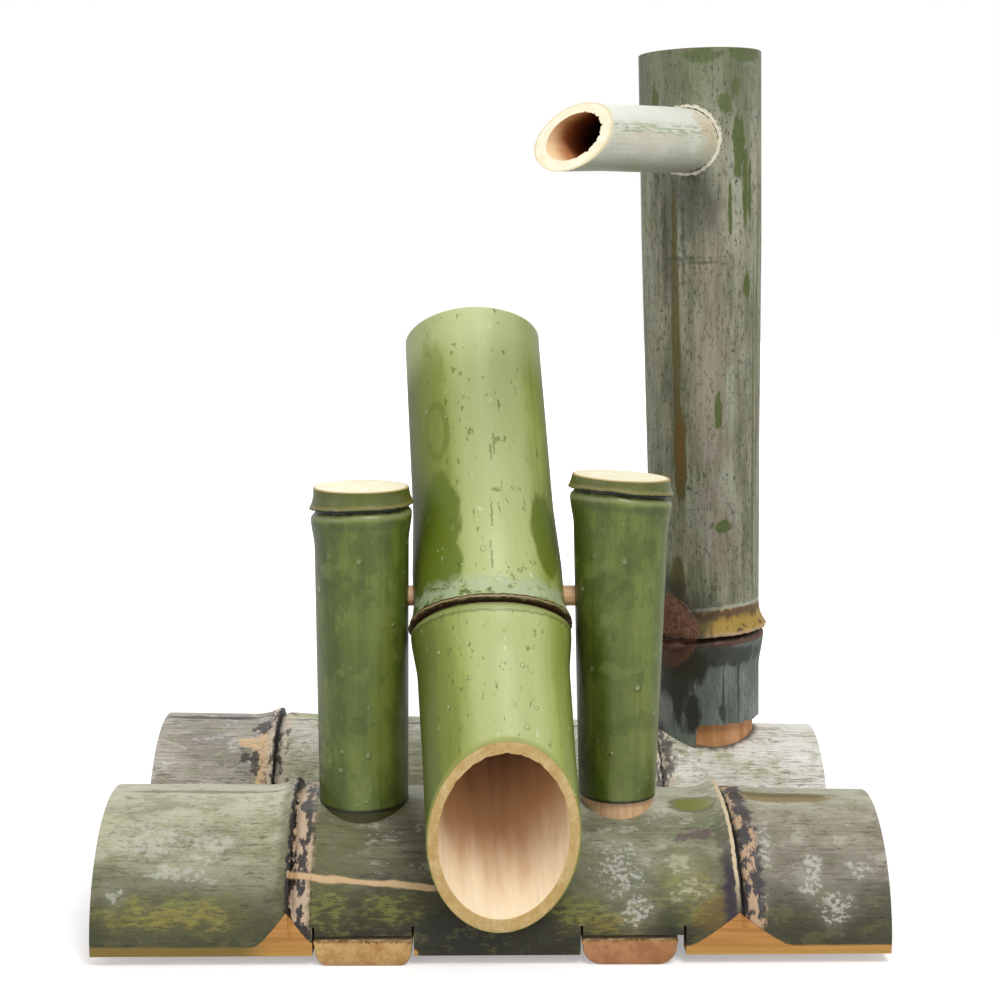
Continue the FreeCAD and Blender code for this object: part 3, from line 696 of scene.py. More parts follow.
class Finish(Signal):
    def __init__(self, name, culm, roughness=0.5, coat=0.0):
        self.material = bpy.data.materials.new(name)
        self.material.use_nodes = True
        super().__init__(self.material.node_tree)
        self.tree.nodes.clear()
        self.shader = self.tree.nodes.new("ShaderNodeBsdfPrincipled")
        output = self.tree.nodes.new("ShaderNodeOutputMaterial")
        self.tree.links.new(self.shader.outputs[0], output.inputs[0])
        for socket, value in (("Roughness", roughness), ("Coat Weight", coat),
                              ("Coat Roughness", 0.2)):
            self.shader.inputs[socket].default_value = value
        self.here = self.node("TexCoord", {}, {}, out=3)
        axes, root = (EAST, UP, NORTH), (0, 0, 0)
        if culm is not None:
            axes, root = (culm.face, culm.side, culm.run), culm.root
        self.across_face, self.across_side, self.along = [self.part(axis, root) for axis in axes]
        self.turn = self.maths("ARCTAN2", self.across_side, self.across_face) * (1 / RADIANS)
        self.distance = (self.across_face * self.across_face
                         + self.across_side * self.across_side).root()
        self.colour, self.noises, self.steps = None, {}, {}

    def part(self, axis, root):
        """How far the point lies along an axis from the root, in millimetres."""
        axis = Vector(axis)
        dot = self.node("VectorMath", {"operation": "DOT_PRODUCT"},
                        {0: self.here, 1: tuple(axis / MM)}, out=1)
        return dot - axis.dot(Vector(root))

    def toward(self, turn):
        """1 on the side at this turn, falling to -1 on the far side."""
        return self.maths("COSINE", (self.turn - turn) * RADIANS)

    def stretched(self, along, across, shift):
        return self.node("CombineXYZ", {}, {0: self.along * along + shift,
                                            1: self.across_face * across,
                                            2: self.across_side * across})

    def noise(self, along, across, detail=3.0, shift=0.0, roughness=0.55):
        """Noise between 0 and 1, with this many waves per millimetre along and across."""
        asked = (along, across, detail, shift, roughness)
        if asked not in self.noises:
            self.noises[asked] = self.node("TexNoise", {}, {
                "Vector": self.stretched(along, across, shift), "Scale": 1.0,
                "Detail": detail, "Roughness": roughness})
        return self.noises[asked]

    def spots(self, along, across, shift=0.0):
        """The distance to the nearest of many scattered points."""
        return self.node("TexVoronoi", {}, {"Vector": self.stretched(along, across, shift),
                                            "Scale": 1.0})

    def drops(self, share, size=0.16):
        """Standing drops: round spots on a few of many scattered points."""
        some = self.noise(0.05, 0.05, detail=1.0, shift=61.0).step(0.62 - share * 0.2, 0.66)
        return self.spots(size, size, shift=2.0).step(0.20, 0.13) * some

    def patch(self, along, turn, length, degrees, soft=0.5, wobble=0.8, grain=(0.08, 0.2)):
        """A mask of an uneven patch, by its middle and half sizes."""
        a = (self.along - along) / length
        b = (self.turn - turn) / degrees
        far = (a * a + b * b).root() + (self.noise(*grain, detail=4.0) - 0.5) * (wobble * 2)
        return far.step(1 + soft / 2, 1 - soft / 2)

    def patches(self, places, **settings):
        found = self.patch(*places[0], **settings)
        for place in places[1:]:
            found = found.most(self.patch(*place, **settings))
        return found

    def past(self, joint, start, end, soft=1.0, ragged=1.0):
        """A mask of the band from start to end past a joint, the way the culm grew."""
        if joint not in self.steps:
            turn = self.turn * RADIANS
            middle = (self.maths("COSINE", turn) * joint.tilt[0]
                      + self.maths("SINE", turn) * joint.tilt[1])
            for size, count, phase in joint.waves:
                middle = middle + self.maths("COSINE", turn * count + phase) * size
            self.steps[joint] = (self.along - middle - joint.along) * joint.growth
        step = self.steps[joint] + (self.noise(0.15, 0.35) - 0.5) * (ragged * 2)
        half = soft / 2
        return step.step(start - half, start + half) * step.step(end + half, end - half)

    def ground(self, dark, middle, pale, streaks=0.45, clouds=(0.025, 0.07), flecks=0.5):
        """A skin of three colours: slow pale clouds, and dark streaks and dashes on the fibres."""
        dark, pale = paint(dark), paint(pale)
        cloud = self.noise(*clouds, detail=6.0, shift=20.0, roughness=0.62)
        fine = self.noise(0.02, 1.3, detail=3.0, shift=31.0)
        dash = self.noise(0.16, 0.75, detail=5.0, shift=44.0, roughness=0.65)
        colour = cloud.step(0.38, 0.64).over(pale, paint(middle))
        colour = (fine.step(0.5, 0.72) * streaks).over(dark, colour)
        colour = (dash.step(0.54, 0.66) * flecks).over(dark, colour)
        return (dash.step(0.44, 0.33) * flecks * 0.8).over(pale, colour)

    def lay(self, colour, mask):
        """Lays a colour, or another ground, over what is there already."""
        colour = paint(colour) if isinstance(colour, str) else colour
        self.colour = mask.over(colour, self.colour)

    def tint(self, signal, *shades):
        """Colours where a signal goes from one value to another, each with its strength."""
        for code, low, high, strength in shades:
            self.lay(code, signal.step(low, high) * strength)

    def glaze(self, code, places, strength=1.0, **settings):
        self.lay(code, self.patches(places, **settings) * strength)

    def lace(self, code, places, strength, size):
        """Lichen and moss: a soft patch with denser pieces broken up inside it."""
        broken = self.noise(*size, detail=6.0, shift=52.0, roughness=0.65)
        where = self.patches(places, soft=1.4, wobble=1.0, grain=(0.1, 0.14))
        broken = (broken + where * 0.28).step(0.73, 0.82)
        self.lay(code, where * (broken * 0.8 + 0.2) * strength)

    def bands(self, joint, *bands):
        """Bands past a joint: a colour, start and end, softness, raggedness and strength."""
        for code, start, end, soft, ragged, strength in bands:
            self.lay(code, self.past(joint, start, end, soft, ragged) * strength)

    def coat(self, roughness=None, relief=None):
        """Joins the colour, the roughness and the relief, in millimetres, to the shader."""
        self.tree.links.new(self.colour.socket, self.shader.inputs["Base Color"])
        if roughness is not None:
            self.tree.links.new(roughness.socket, self.shader.inputs["Roughness"])
        if relief is not None:
            bump = self.node("Bump", {}, {"Height": relief, "Distance": MM, "Strength": 1.0})
            self.tree.links.new(bump.socket, self.shader.inputs["Normal"])
        return self.material


# %% [markdown]
# Two finishes are shared by all the culms. Sawn bamboo is pale wood with the dark dots of
# its fibre bundles, closer together towards the skin. The hollow is paler by the open end
# and browner further in: partly water stain, and partly painted light at the open end and
# painted shade deeper in the bore. The skins come after these.

# %% Sawn ends and hollows


def sawn(name, culm, wood, dots, rim, outer, rim_width=0.9, size=1.1):
    """The end of a culm. The rim is what is left of the skin, from the outer radius in."""
    f = Finish(name, culm, 0.6)
    f.colour = f.noise(0.05, 0.25, detail=4.0).step(0.35, 0.7).over(
        paint(wood[0]), paint(wood[1]))
    bundle = f.spots(0.02, size).step(0.42, 0.12)
    near_skin = f.distance.step(outer * 0.6, outer * 0.98) * 0.75 + 0.1
    grit = f.noise(0.6, 0.9, detail=4.0, shift=9.0)
    f.lay(dots, bundle * near_skin * 0.45)
    f.lay(rim, f.distance.step(outer - rim_width * 1.5, outer - rim_width * 0.4) * 0.85)
    f.lay(dots, grit.step(0.55, 0.75) * 0.15)
    return f.coat(grit * 0.25 + 0.5, bundle * -0.05 + grit * 0.12)


def hollow(name, culm, near, middle, deep_shade, depth, reach):
    """The inside, paler by the open end and darker further in, as painted light and shade. Depth
    gives how far in a point is, and reach how soon it darkens.
    """
    f = Finish(name, culm, 0.6)
    inward = depth(f) + (f.noise(0.03, 0.12, detail=4.0) - 0.5) * reach
    streaks = f.noise(0.02, 0.5, detail=3.0, shift=5.0)
    # Painted light by the open end and painted shade further in, with streaks of the shade colour.
    f.colour = inward.step(0, reach).over(paint(middle), paint(near))
    f.lay(deep_shade, inward.step(reach * 0.8, reach * 2.2))
    f.lay(deep_shade, streaks.step(0.45, 0.75) * 0.08)
    return f.coat(None, streaks * 0.12)


# %% [markdown]
# The front foot has weathered longest. Its left length is khaki green with lichen, the
# middle one is dark and mossy by the first joint and greyer further on, and the right one
# is a brownish grey. Marks, water and lichen were placed one by one from the photograph.
# Over all of it the crest is painted lighter and the lower front side darker, as painted
# light and shade, with near-black patches of painted shade low down towards the floor.

# %% Ground and marks of the front foot
f = Finish("front skin", front, 0.62)
middle_part = f.along.step(-79, -77) * f.along.step(94, 88)
f.colour = f.ground("4c4f35", "8d8e6e", "b6b596", 0.4, flecks=0.7)
f.lay(f.ground("4a4438", "7e7565", "9f9786", 0.4, flecks=0.6), f.along.step(88, 94))
f.lay(f.ground("2e2a1a", "625c46", "8f8a72", 0.5, flecks=0.8), middle_part)
f.lay(f.ground("4a5032", "787e5c", "a3a588", 0.4, flecks=0.6),
      f.along.step(10, 60) * middle_part * 0.6)
# Painted light and shade: paler along the crest, darker on the lower front side.
f.tint(f.turn, ("d2cfb8", 30, 4, 0.6), ("2c2e0a", 36, 78, 0.9))
# Painted shade: near-black patches low on the front side, towards the floor.
f.glaze("2e2c10", [(-66, 68, 14, 16), (-40, 74, 30, 14), (0, 70, 40, 22)], 0.8)
f.glaze("1d1a0c", [(0, 80, 34, 14), (-44, 84, 36, 8), (66, 86, 24, 7)], 0.8)
moss = f.noise(0.1, 0.16, detail=7.0, shift=38.0, roughness=0.7)
grime = f.noise(0.35, 0.7, detail=5.0, shift=58.0, roughness=0.7)
f.lay("6a6c3c", moss.step(0.53, 0.58) * 0.35)
f.lay("c9c7b4", moss.step(0.44, 0.4) * f.turn.step(66, 40) * 0.35)
f.lay("2b2716", grime.step(0.6, 0.65) * 0.55)
f.glaze("615f33", [(-62, 40, 16, 24), (-34, 16, 16, 8), (30, 52, 22, 14), (74, 50, 12, 12)], 0.6)
f.lace("8f9140", [(-62, 68, 12, 12), (-38, 68, 14, 8), (-118, 70, 30, 10), (30, 70, 26, 10),
                  (70, 60, 12, 14)], 0.45, (0.2, 0.6))
f.lace("b09a45", [(-118, 72, 26, 7), (80, 66, 8, 14), (46, 76, 14, 6)], 0.35, (0.22, 0.7))
f.glaze("7a5c22", [(84, 72, 7, 9)], 0.45, wobble=1.2)
f.lace("c4c0a2", [(74, 61, 9, 6), (70, 48, 8, 6)], 0.6, (0.3, 0.5))
f.glaze("5f6334", [(-112, 2, 30, 1.8)], 0.7, wobble=0.8)
f.glaze("87774a", [(112, 6, 24, 4)], 0.9, wobble=0.6)
f.glaze("6f6334", [(112, 2, 24, 3)], 0.9, wobble=0.6)
f.lace("cfcfc2", [(-130, 36, 16, 14), (-106, 42, 9, 10), (-141, 63, 4, 6), (-118, 54, 16, 6)],
       0.5, (0.3, 0.4))
f.lace("cccbbe", [(48, 52, 13, 14), (55, 70, 7, 8), (65, 16, 6, 10), (104, 42, 4, 14),
                  (121, 54, 5, 14), (128, 68, 8, 10), (138, 50, 6, 6), (100, 66, 4, 8)],
       0.65, (0.5, 0.6))
f.glaze("5a4f22", [(79, 12, 10.2, 7.2)], 0.7, wobble=0.5, soft=0.25)
f.glaze("78822a", [(79, 12, 8.2, 5.2)], 0.8, wobble=0.5, soft=0.25)
f.glaze("5c3a4a", [(79, 33, 5, 3), (72, 35, 3, 2)], 0.6, wobble=1.2, grain=(0.4, 0.5))

# %% [markdown]
# Purple-black rot and peeled cream strips follow both joints, and a long split runs from
# the first one. A near-black band of painted shade lies in the groove just past the first
# joint's edge. The planed strip is found by asking where the unplaned skin would have
# stood out past the plane, so the flares of the joints give it its two pointed triangles.

# %% Joints, split and planed strip of the front foot
joint_1, joint_2 = front.joints
peel = f.noise(0.22, 0.11, detail=6.0, shift=70.0, roughness=0.65)
f.lay(peel.step(0.47, 0.52).over(paint("d3b79c"), paint("2c2028")),
      f.past(joint_1, 0.5, 8.5, soft=3, ragged=3) * 0.85)
f.lay(peel.step(0.5, 0.55).over(paint("c8a583"), paint("2e2430")),
      f.past(joint_2, 2.0, 9.5, soft=3, ragged=4) * 0.85)
f.lay("332a34", f.past(joint_2, -5, -0.8, soft=3, ragged=3) * f.turn.step(18, 60))
# The near-black band just past the first joint's edge is painted shade in the groove.
f.bands(joint_1, ("5f5a3a", -4, -0.8, 3, 3, 0.5), ("14100c", -0.6, 1.2, 0.6, 2.5, 1))
f.bands(joint_2, ("1a1216", 0.5, 2.0, 0.7, 0.9, 1))
f.lay("dcc7a5", f.past(joint_2, -1.0, 0.4, soft=0.4, ragged=0.8) * f.turn.step(74, 50))
split = (f.turn - 57 - (f.along + 50) * 0.1 + (f.noise(0.06, 0.1, detail=4.0) - 0.5) * 5).size()
split = split.step(2.0, 1.0) * f.along.step(-77.5, -76) * f.along.step(-18, -24)
f.lay("cfae82", split)
stands_out = 0.15 - f.along.step(-31, -24) * f.along.step(36, 30) * 0.25
for joint, reach in ((joint_1, 13), (joint_2, 21)):
    near = (1 - f.steps[joint].size() / reach).most(0)
    stands_out = f.maths("POWER", near, 2.2) * 2.7 + stands_out
sine = f.maths("SINE", f.turn * RADIANS)
short = (1 - sine) * 47.75 + (f.noise(0.1, 0.6) - 0.5) * 0.08
planed_off = (sine * stands_out - short).step(-0.02, 0.05)
wood = f.noise(0.02, 0.7, detail=4.0, shift=80.0).step(0.3, 0.7).over(
    paint("c98f4a"), paint("a87436"))
wood = (f.turn.step(82, 90) * 0.4).over(paint("c7a24a"), wood)
f.lay((f.along.step(-82, -95) * 0.85).over(paint("75652a"), wood), planed_off)
rough = f.noise(0.2, 0.9, detail=4.0, shift=12.0)
both = (f.past(joint_1, 1, 9) + f.past(joint_2, 2, 9)) * peel
front_finishes = [
    f.coat(f.noise(0.05, 0.1) * 0.35 + 0.42 - f.patch(79, 12, 9, 6, wobble=0.5) * 0.3,
           (rough * 0.4 + both * 0.8 - split * 0.3) * (1 - planed_off)),
    sawn("front sawn", front, ("c79a63", "9f7443"), "6b4524", "55451f", 48),
    hollow("front hollow", front, "a9845a", "8a6a45", "5f472d", lambda f: 150 - f.along.size(),
           60)]
finish_piece(front_foot, "front_base", "stand", front_finishes)

# %% [markdown]
# The rear foot had more sun and splash: it is nearly bleached at the right, yellow-green
# by its first joint, and mauve grey at the left, with fine drying cracks everywhere. Its
# lower front and back sides, and a ring round the water post's foot, are painted darker as
# painted shade.

# %% Finish of the rear foot
f = Finish("rear skin", rear, 0.6)
f.colour = f.ground("84846a", "c2c2a4", "e2dfca", 0.4, flecks=0.5)
f.lay(f.ground("746c60", "9f978a", "c4bcb0", 0.35), f.along.step(-95, -99))
f.lay(f.ground("a0a38c", "e2e0d2", "fbf9f2", 0.3), f.along.step(40, 100) * 0.85)
f.glaze("8d8378", [(-128, 28, 12, 10)], 0.6)
f.lace("a3a85c", [(-80, 40, 14, 12), (-60, 22, 14, 8)], 0.5, (0.3, 0.5))
f.glaze("35311c", [(-124, 1, 24, 2.4), (-20, 4, 70, 2.2)], 0.9, wobble=0.8, soft=0.4,
        grain=(0.1, 0.4))
f.glaze("b3bd54", [(-80, -3, 16, 3)], 0.6)
moss = f.noise(0.1, 0.16, detail=7.0, shift=38.0, roughness=0.7)
grime = f.noise(0.3, 0.6, detail=5.0, shift=58.0, roughness=0.7)
f.tint(moss, ("8a8f5e", 0.54, 0.6, 0.35), ("f4f1e8", 0.44, 0.4, 0.4))
f.tint(grime, ("5a5440", 0.6, 0.66, 0.5))
f.lace("f2eee6", [(-76, 26, 14, 14), (112, 24, 20, 14), (132, 40, 12, 12), (90, 34, 12, 10)],
       0.8, (0.4, 0.5))
f.lace("8f9350", [(86, 28, 10, 6), (104, 32, 10, 8), (120, 40, 14, 10)], 0.6, (0.2, 0.4))
# Painted shade: darker on the lower front side and on the lower back side.
f.tint(f.turn, ("4a4a28", 48, 84, 0.7), ("5a5a3c", -40, -80, 0.5))
f.glaze("efcb9c", [(-103, 27, 8, 5), (-99.5, 46, 3.5, 22)], 0.9, wobble=1.3, soft=0.25,
        grain=(0.2, 0.25))
f.glaze("33262a", [(-101, 14, 4.5, 6), (-104, 40, 2.5, 6), (-108, 36, 2, 3), (-118, 2, 8, 1.5)],
        0.85, wobble=1.4, soft=0.3, grain=(0.3, 0.35))
# Painted shade: a dark ring round the water post's foot, where it stands on this foot.
to_post, to_back = f.part(EAST, (TALL_X, 0, 0)), f.across_side + 2.5
seat = (to_post * to_post + to_back * to_back).root() + (f.noise(0.3, 0.3) - 0.5) * 4
f.lay("3f3320", seat.step(24.5, 21.5) * 0.85)
peel = f.noise(0.22, 0.11, detail=6.0, shift=70.0, roughness=0.65)
peel = peel.step(0.46, 0.52).over(paint("e3d2bb"), paint("3a2c2e"))
for joint in rear.joints:
    f.lay(peel, f.past(joint, -3, 7, soft=3, ragged=4) * 0.8)
    f.bands(joint, ("1d1613", 0.2, 1.5, 0.6, 1.2, 1))
cracks = (f.noise(0.02, 0.7, detail=4.0, shift=90.0) - 0.5).size().step(0.010, 0.002)
wet_and_glints = f.drops(0.35)
f.lay("4a4238", cracks * 0.3)
f.lay("9b9c62", wet_and_glints * 0.4)
rear_finishes = [
    f.coat(f.noise(0.05, 0.1) * 0.3 + 0.45 - wet_and_glints * 0.35,
           f.noise(0.2, 0.9, detail=4.0, shift=12.0) * 0.35 + wet_and_glints * 0.7 - cracks * 0.15),
    sawn("rear sawn", rear, ("cfa873", "a98250"), "7a5230", "6c5a3a", 47),
    hollow("rear hollow", rear, "a9845a", "8a6a45", "5f472d", lambda f: 148 - f.along.size(), 60)]
finish_piece(rear_foot, "rear_base", "stand", rear_finishes)

# %% [markdown]
# The side posts are still green. Water stands on them in beads, whose pale colour is a
# painted highlight. They are painted lighter on the side toward the key lamp and darker
# away from it, as painted light and shade, with painted shade in the groove under the
# joint's edge and at the foot of the skin. The sawn tops are cream. The left post's tenon
# is dark, while the right one's is peach, and both have painted shade where they leave the hole.

# %% Finish of the side posts
for name, piece, culm, shades, radius, tenon, tenon_grain, seat in (
        ("left_post", left_post, post_left, ("262f0a", "4b5a18", "69772f"), 18.2, "3d4018",
         "4f3c20", LEFT_SEAT),
        ("right_post", right_post, post_right, ("242d09", "4b5a17", "6b792f"), 18.4, "e4ba90",
         "b98860", RIGHT_SEAT)):
    f = Finish(name + " skin", culm, 0.4, coat=0.06)
    runs = f.noise(0.006, 0.22, detail=3.0, shift=64.0)
    blotch = f.noise(0.07, 0.09, detail=6.0, shift=88.0, roughness=0.62)
    f.colour = f.ground(*shades, streaks=0.2, clouds=(0.03, 0.06), flecks=0.22)
    # Painted light and shade: lighter on the side toward the key lamp, darker away from it.
    f.tint(f.toward(14), ("7c8a40", 0.75, 1, 0.4), ("303c10", 0.6, 0.1, 0.5))
    f.tint(runs, ("2f3b0e", 0.5, 0.66, 0.25))
    f.tint(blotch, ("3b4714", 0.54, 0.6, 0.35), ("7f8c4a", 0.43, 0.38, 0.35))
    # Of these bands, the near-black one just past the edge is painted shade in the groove.
    f.bands(culm.joints[0], ("565720", -12, 0, 5, 2, 0.7), ("94804e", -1.1, 0, 0.6, 0.5, 0.5),
            ("1b1a0e", 0.2, 2.0, 0.6, 0.6, 1), ("a4aa7a", 2.4, 4.6, 1.4, 0.8, 0.35),
            ("3f4a22", 5.5, 8.0, 1.6, 1.5, 0.4))
    # Painted shade: a dark band at the foot of the skin, where it meets the front foot.
    f.lay("22200f", f.along.step(seat + 1.5, seat + 0.4))
    # Standing drops; their pale colour is a painted highlight.
    drops_and_glints = f.drops(0.9, 0.14)
    f.lay("c4cca0", drops_and_glints * 0.3)
    post_finishes = [
        f.coat(blotch * 0.25 + 0.24 - drops_and_glints * 0.15,
               f.noise(0.03, 1.0, shift=12.0) * 0.08 + drops_and_glints * 0.7),
        sawn(name + " sawn", culm, ("fff9df", "f8efca"), "cdb478", "b99a55", radius, 0.7, 1.6),
        hollow(name + " hollow", culm, "c2a06a", "a98452", "8a6a3f", lambda f: f.along, 60)]
    f = Finish(name + " tenon", culm, 0.6)
    shaved = f.noise(0.05, 0.5, detail=4.0)
    f.colour = (shaved.step(0.4, 0.62) * 0.35).over(paint(tenon_grain), paint(tenon))
    f.glaze("c79a84", [(-7, 20, 1.8, 6)], 0.8, wobble=0.9)
    # Painted shade on the tenon, where it leaves the hole.
    f.lay("2c2414", f.along.step(seat - 1.0, seat + 0.2))
    post_finishes.append(f.coat(None, shaved * 0.3))
    for face in piece.data.polygons:
        if face.material_index == CUT and face.center.z < (CREST + 20) * MM:
            face.material_index = TENON
    finish_piece(piece, name, "stand", post_finishes)

# %% [markdown]
# Wax gives the water post its grey bloom. Where a hand or a tool rubbed it off, the olive
# skin shows through in wipes, specks and scratches. Below the joint it is darker and wet,
# and below the spout a painted shadow darkens it.

# %% Ground and marks of the water post
f = Finish("water post skin", tall, 0.6)
f.colour = f.ground("4a4a34", "75765d", "9c9b83", 0.5, clouds=(0.014, 0.06), flecks=0.5)
bloom = f.noise(0.02, 0.14, detail=6.0, shift=25.0, roughness=0.65)
pits = f.noise(0.35, 0.8, detail=5.0, shift=19.0, roughness=0.75).step(0.57, 0.62)
f.tint(bloom, ("a7aa98", 0.5, 0.62, 0.5), ("5a5e48", 0.46, 0.38, 0.5))
f.lay("33361f", pits * 0.8)
f.glaze("8f7d70", [(160, 0, 60, 16), (90, 8, 18, 20)], 0.4, wobble=1.2)
# Painted shadow below the spout.
f.glaze("34382a", [(236, -14, 14, 30), (222, -40, 30, 8)], 0.6, soft=1.4)
f.glaze("47580e", [(260, 31, 13, 8), (242, 39, 16, 3.5), (283, 28, 4, 5), (276, 16, 4, 6),
                   (297, 40, 4, 18), (296, -4, 3, 16), (237, 45, 14, 2.5), (231, 21, 11, 2),
                   (200, 41, 6, 5), (279, -53, 5, 5), (146, 8, 8, 4), (96, 12, 3, 10)],
        0.9, wobble=0.9, soft=0.35, grain=(0.16, 0.35))
f.glaze("52480e", [(172, -33, 66, 4.2), (128, -31, 22, 7), (70, -36, 12, 9)], 0.85, wobble=0.6,
        grain=(0.06, 0.2), soft=0.3)
f.glaze("6b4a0e", [(130, -31, 16, 5)], 0.7, wobble=0.6, grain=(0.06, 0.2))
f.glaze("33361f", [(212, -20, 1.0, 20), (210, -8, 0.7, 14), (216, -44, 26, 3),
                   (218, -24, 20, 2.5)], 0.6, wobble=1.4, grain=(0.3, 0.5), soft=0.8)
f.glaze("5a5e33", [(130, 52, 78, 1.3), (150, 60, 110, 0.9), (120, 120, 90, 2)], 0.85,
        wobble=0.5, grain=(0.02, 0.1))
f.lay("5d6645", f.along.step(256, 286) * 0.55)
f.lay(f.ground("2f352e", "626b62", "868f88", 0.5, flecks=0.4),
      f.past(tall_joint, 4.5, 60, soft=1.0, ragged=0.5))
f.glaze("1f2118", [(26, -42, 18, 20), (12, -22, 9, 9), (34, -16, 8, 10)], 0.92, wobble=0.9)
f.glaze("262a1e", [(24, 30, 22, 1.6), (20, 12, 16, 1.2), (12, 11, 4, 4), (38, 0, 5, 60)], 0.8,
        wobble=0.8)
f.glaze("858b86", [(10, -56, 9, 12)], 0.8)

# %% [markdown]
# The band above the joint's edge has gone golden with black specks, and browner beside the
# bud. The bud is rust red with fine scales, with painted shade in the crease between its
# lobes. Round the spout the broken wall shows pale wood.

# %% Joint, bud and torn rim of the water post
gold = f.noise(0.12, 0.12, detail=6.0, shift=33.0, roughness=0.6)
band = f.past(tall_joint, -11, 0.2, soft=0.8, ragged=1.6)
browned = f.past(tall_joint, -11, -7, soft=3, ragged=4).most(f.turn.step(-22, -34))
browned = browned.most(gold.step(0.56, 0.60)) * 0.85
f.bands(tall_joint, ("b7b6a4", -12.5, -11, 0.8, 1.6, 0.7))
f.lay(browned.over(paint("54392a"), paint("a88a3c")), band)
f.lay("1d120c", band * gold.step(0.37, 0.34))
f.bands(tall_joint, ("b99a72", -1.0, 0.4, 0.4, 0.3, 0.8), ("351a10", 0.4, 2.6, 0.5, 0.4, 1),
        ("542c1c", 2.6, 5.0, 1.0, 1, 0.9))
f.glaze("2c281a", [(47, -50, 26, 50)], 0.8, soft=0.5, wobble=0.4)
on_bud = f.patch(48.5, -50, 16, 36, soft=0.12, wobble=0.2)
scaly = f.noise(0.5, 1.1, detail=4.0, shift=15.0)
rust = scaly.step(0.35, 0.65).over(paint("74482b"), paint("452818"))
f.lay((f.along.step(47, 44) * 0.6).over(paint("5a3526"), rust), on_bud)
# Painted shade in the crease between the bud's two lobes.
f.glaze("1f120c", [(46.3, -50, 0.7, 36)], 1, soft=0.5, wobble=0.2)
f.glaze("a5745c", [(45.0, -50, 0.5, 34)], 0.7, soft=0.5, wobble=0.2)
to_side, to_top = f.part(pipe.side, spout_root), f.part(pipe.face, spout_root)
ring = (to_side * to_side + to_top * to_top).root()
torn_rim = (ring + (f.noise(0.5, 0.5, shift=3.0) - 0.5) * 3.5).step(15.1, 14.6) * (
    f.across_face.step(0, 8))
f.lay("e2dcc8", torn_rim)
tall_finishes = [
    f.coat(f.noise(0.02, 0.3) * 0.3 + 0.42,
           f.noise(0.03, 1.0, shift=12.0) * 0.15 + on_bud * scaly * 0.9 + torn_rim * 0.5
           - pits * 0.1),
    sawn("water post sawn", tall, ("e2aa7a", "c68d5a"), "7a5230", "4d4a33", 26.2),
    hollow("water post hollow", tall, "6b5a3c", "4d3f2a", "2c2318",
           lambda f: TALL_TOP - f.along, 40)]
finish_piece(water_post, "water_post", "stand", tall_finishes)

# %% [markdown]
# The spout is the palest piece. It is painted near white above as painted light and grey
# below as painted shade, with a line of green dashes along its side, and tan where it
# goes in. Its inside is browner further in: water stain and painted shade.

# %% Finish of the spout


def spout_depth(f):
    """How far in a point is from the slanting tip."""
    return TIP - f.across_face * TIP_SLANT + f.across_side * TIP_SKEW - f.along


f = Finish("spout skin", pipe, 0.45, coat=0.1)
dashes = f.noise(0.1, 1.4, detail=5.0, shift=14.0)
f.colour = f.ground("a3a888", "ccd0b8", "dfe1d0", 0.3, flecks=0.3)
# Painted light and shade: near white on the upper side, grey on the underside.
f.tint(f.toward(-15), ("eef0e4", 0.35, 0.9, 0.8), ("7a7c64", 0.0, -0.8, 0.85))
f.lay("86935e", (f.turn + 76).size().step(18, 4) * dashes.step(0.42, 0.62) * 0.75)
f.glaze("cdb894", [(26, -70, 22, 50)], 0.6)
f.glaze("d5c3ae", [(120, -95, 40, 16)], 0.4)
f.tint(spout_depth(f), ("efe3c6", 4, 0.5, 0.8))
spout_finishes = [
    f.coat(f.noise(0.05, 0.3) * 0.2 + 0.35,
           f.noise(0.03, 1.4, shift=12.0) * 0.12 - dashes * 0.08),
    sawn("spout sawn", pipe, ("fdf2da", "f5e4c4"), "d4b27c", "d9cba0", 11.8, 0.4, 1.8),
    hollow("spout hollow", pipe, "f9d9aa", "c08050", "6a3823", spout_depth, 24)]
finish_piece(spout, "spout", "stand", spout_finishes)

# %% [markdown]
# The rocker is fresh: a clear yellow-green with a soft gloss. Splashes have left darker wet
# patches on both sides of the dowel and small marks, and there is a white bloom just behind
# the joint, whose double scar is a dark red-brown. A pale band of painted highlight runs
# down its middle, its sides are painted darker as painted shade, and its standing drops
# are painted pale as painted highlights.

# %% Finish of the rocker


def mouth_depth(f):
    return MOUTH - f.across_face * MOUTH_SLANT - f.along


def rocker_depth(f):
    """How far in from the mouth, or from the tail behind the septum."""
    return mouth_depth(f) * f.along.step(12, 14) + (f.along - TAIL) * f.along.step(14, 12)


f = Finish("rocker skin", swing, 0.34, coat=0.05)
f.shader.inputs["Specular IOR Level"].default_value = 0.3
joint = swing.joints[0]
fine = f.noise(0.006, 0.6, detail=3.0, shift=66.0)
bloom = f.noise(0.3, 0.16, detail=6.0, shift=21.0, roughness=0.65)
marks = f.noise(0.16, 0.3, detail=5.0, shift=5.0)
splash = f.noise(0.2, 0.5, detail=4.0, shift=17.0, roughness=0.6)
splash = splash.step(0.63, 0.67) * (f.turn - 10).size().step(60, 40)
f.colour = f.ground("6c7828", "8b983f", "a2ae56", 0.15, clouds=(0.02, 0.05), flecks=0.12)
f.tint(fine, ("aab566", 0.4, 0.65, 0.35))
# Painted highlight: a pale band down the middle of the upper side.
f.tint((f.turn + 6).size(), ("bdc68a", 42, 20, 0.75))
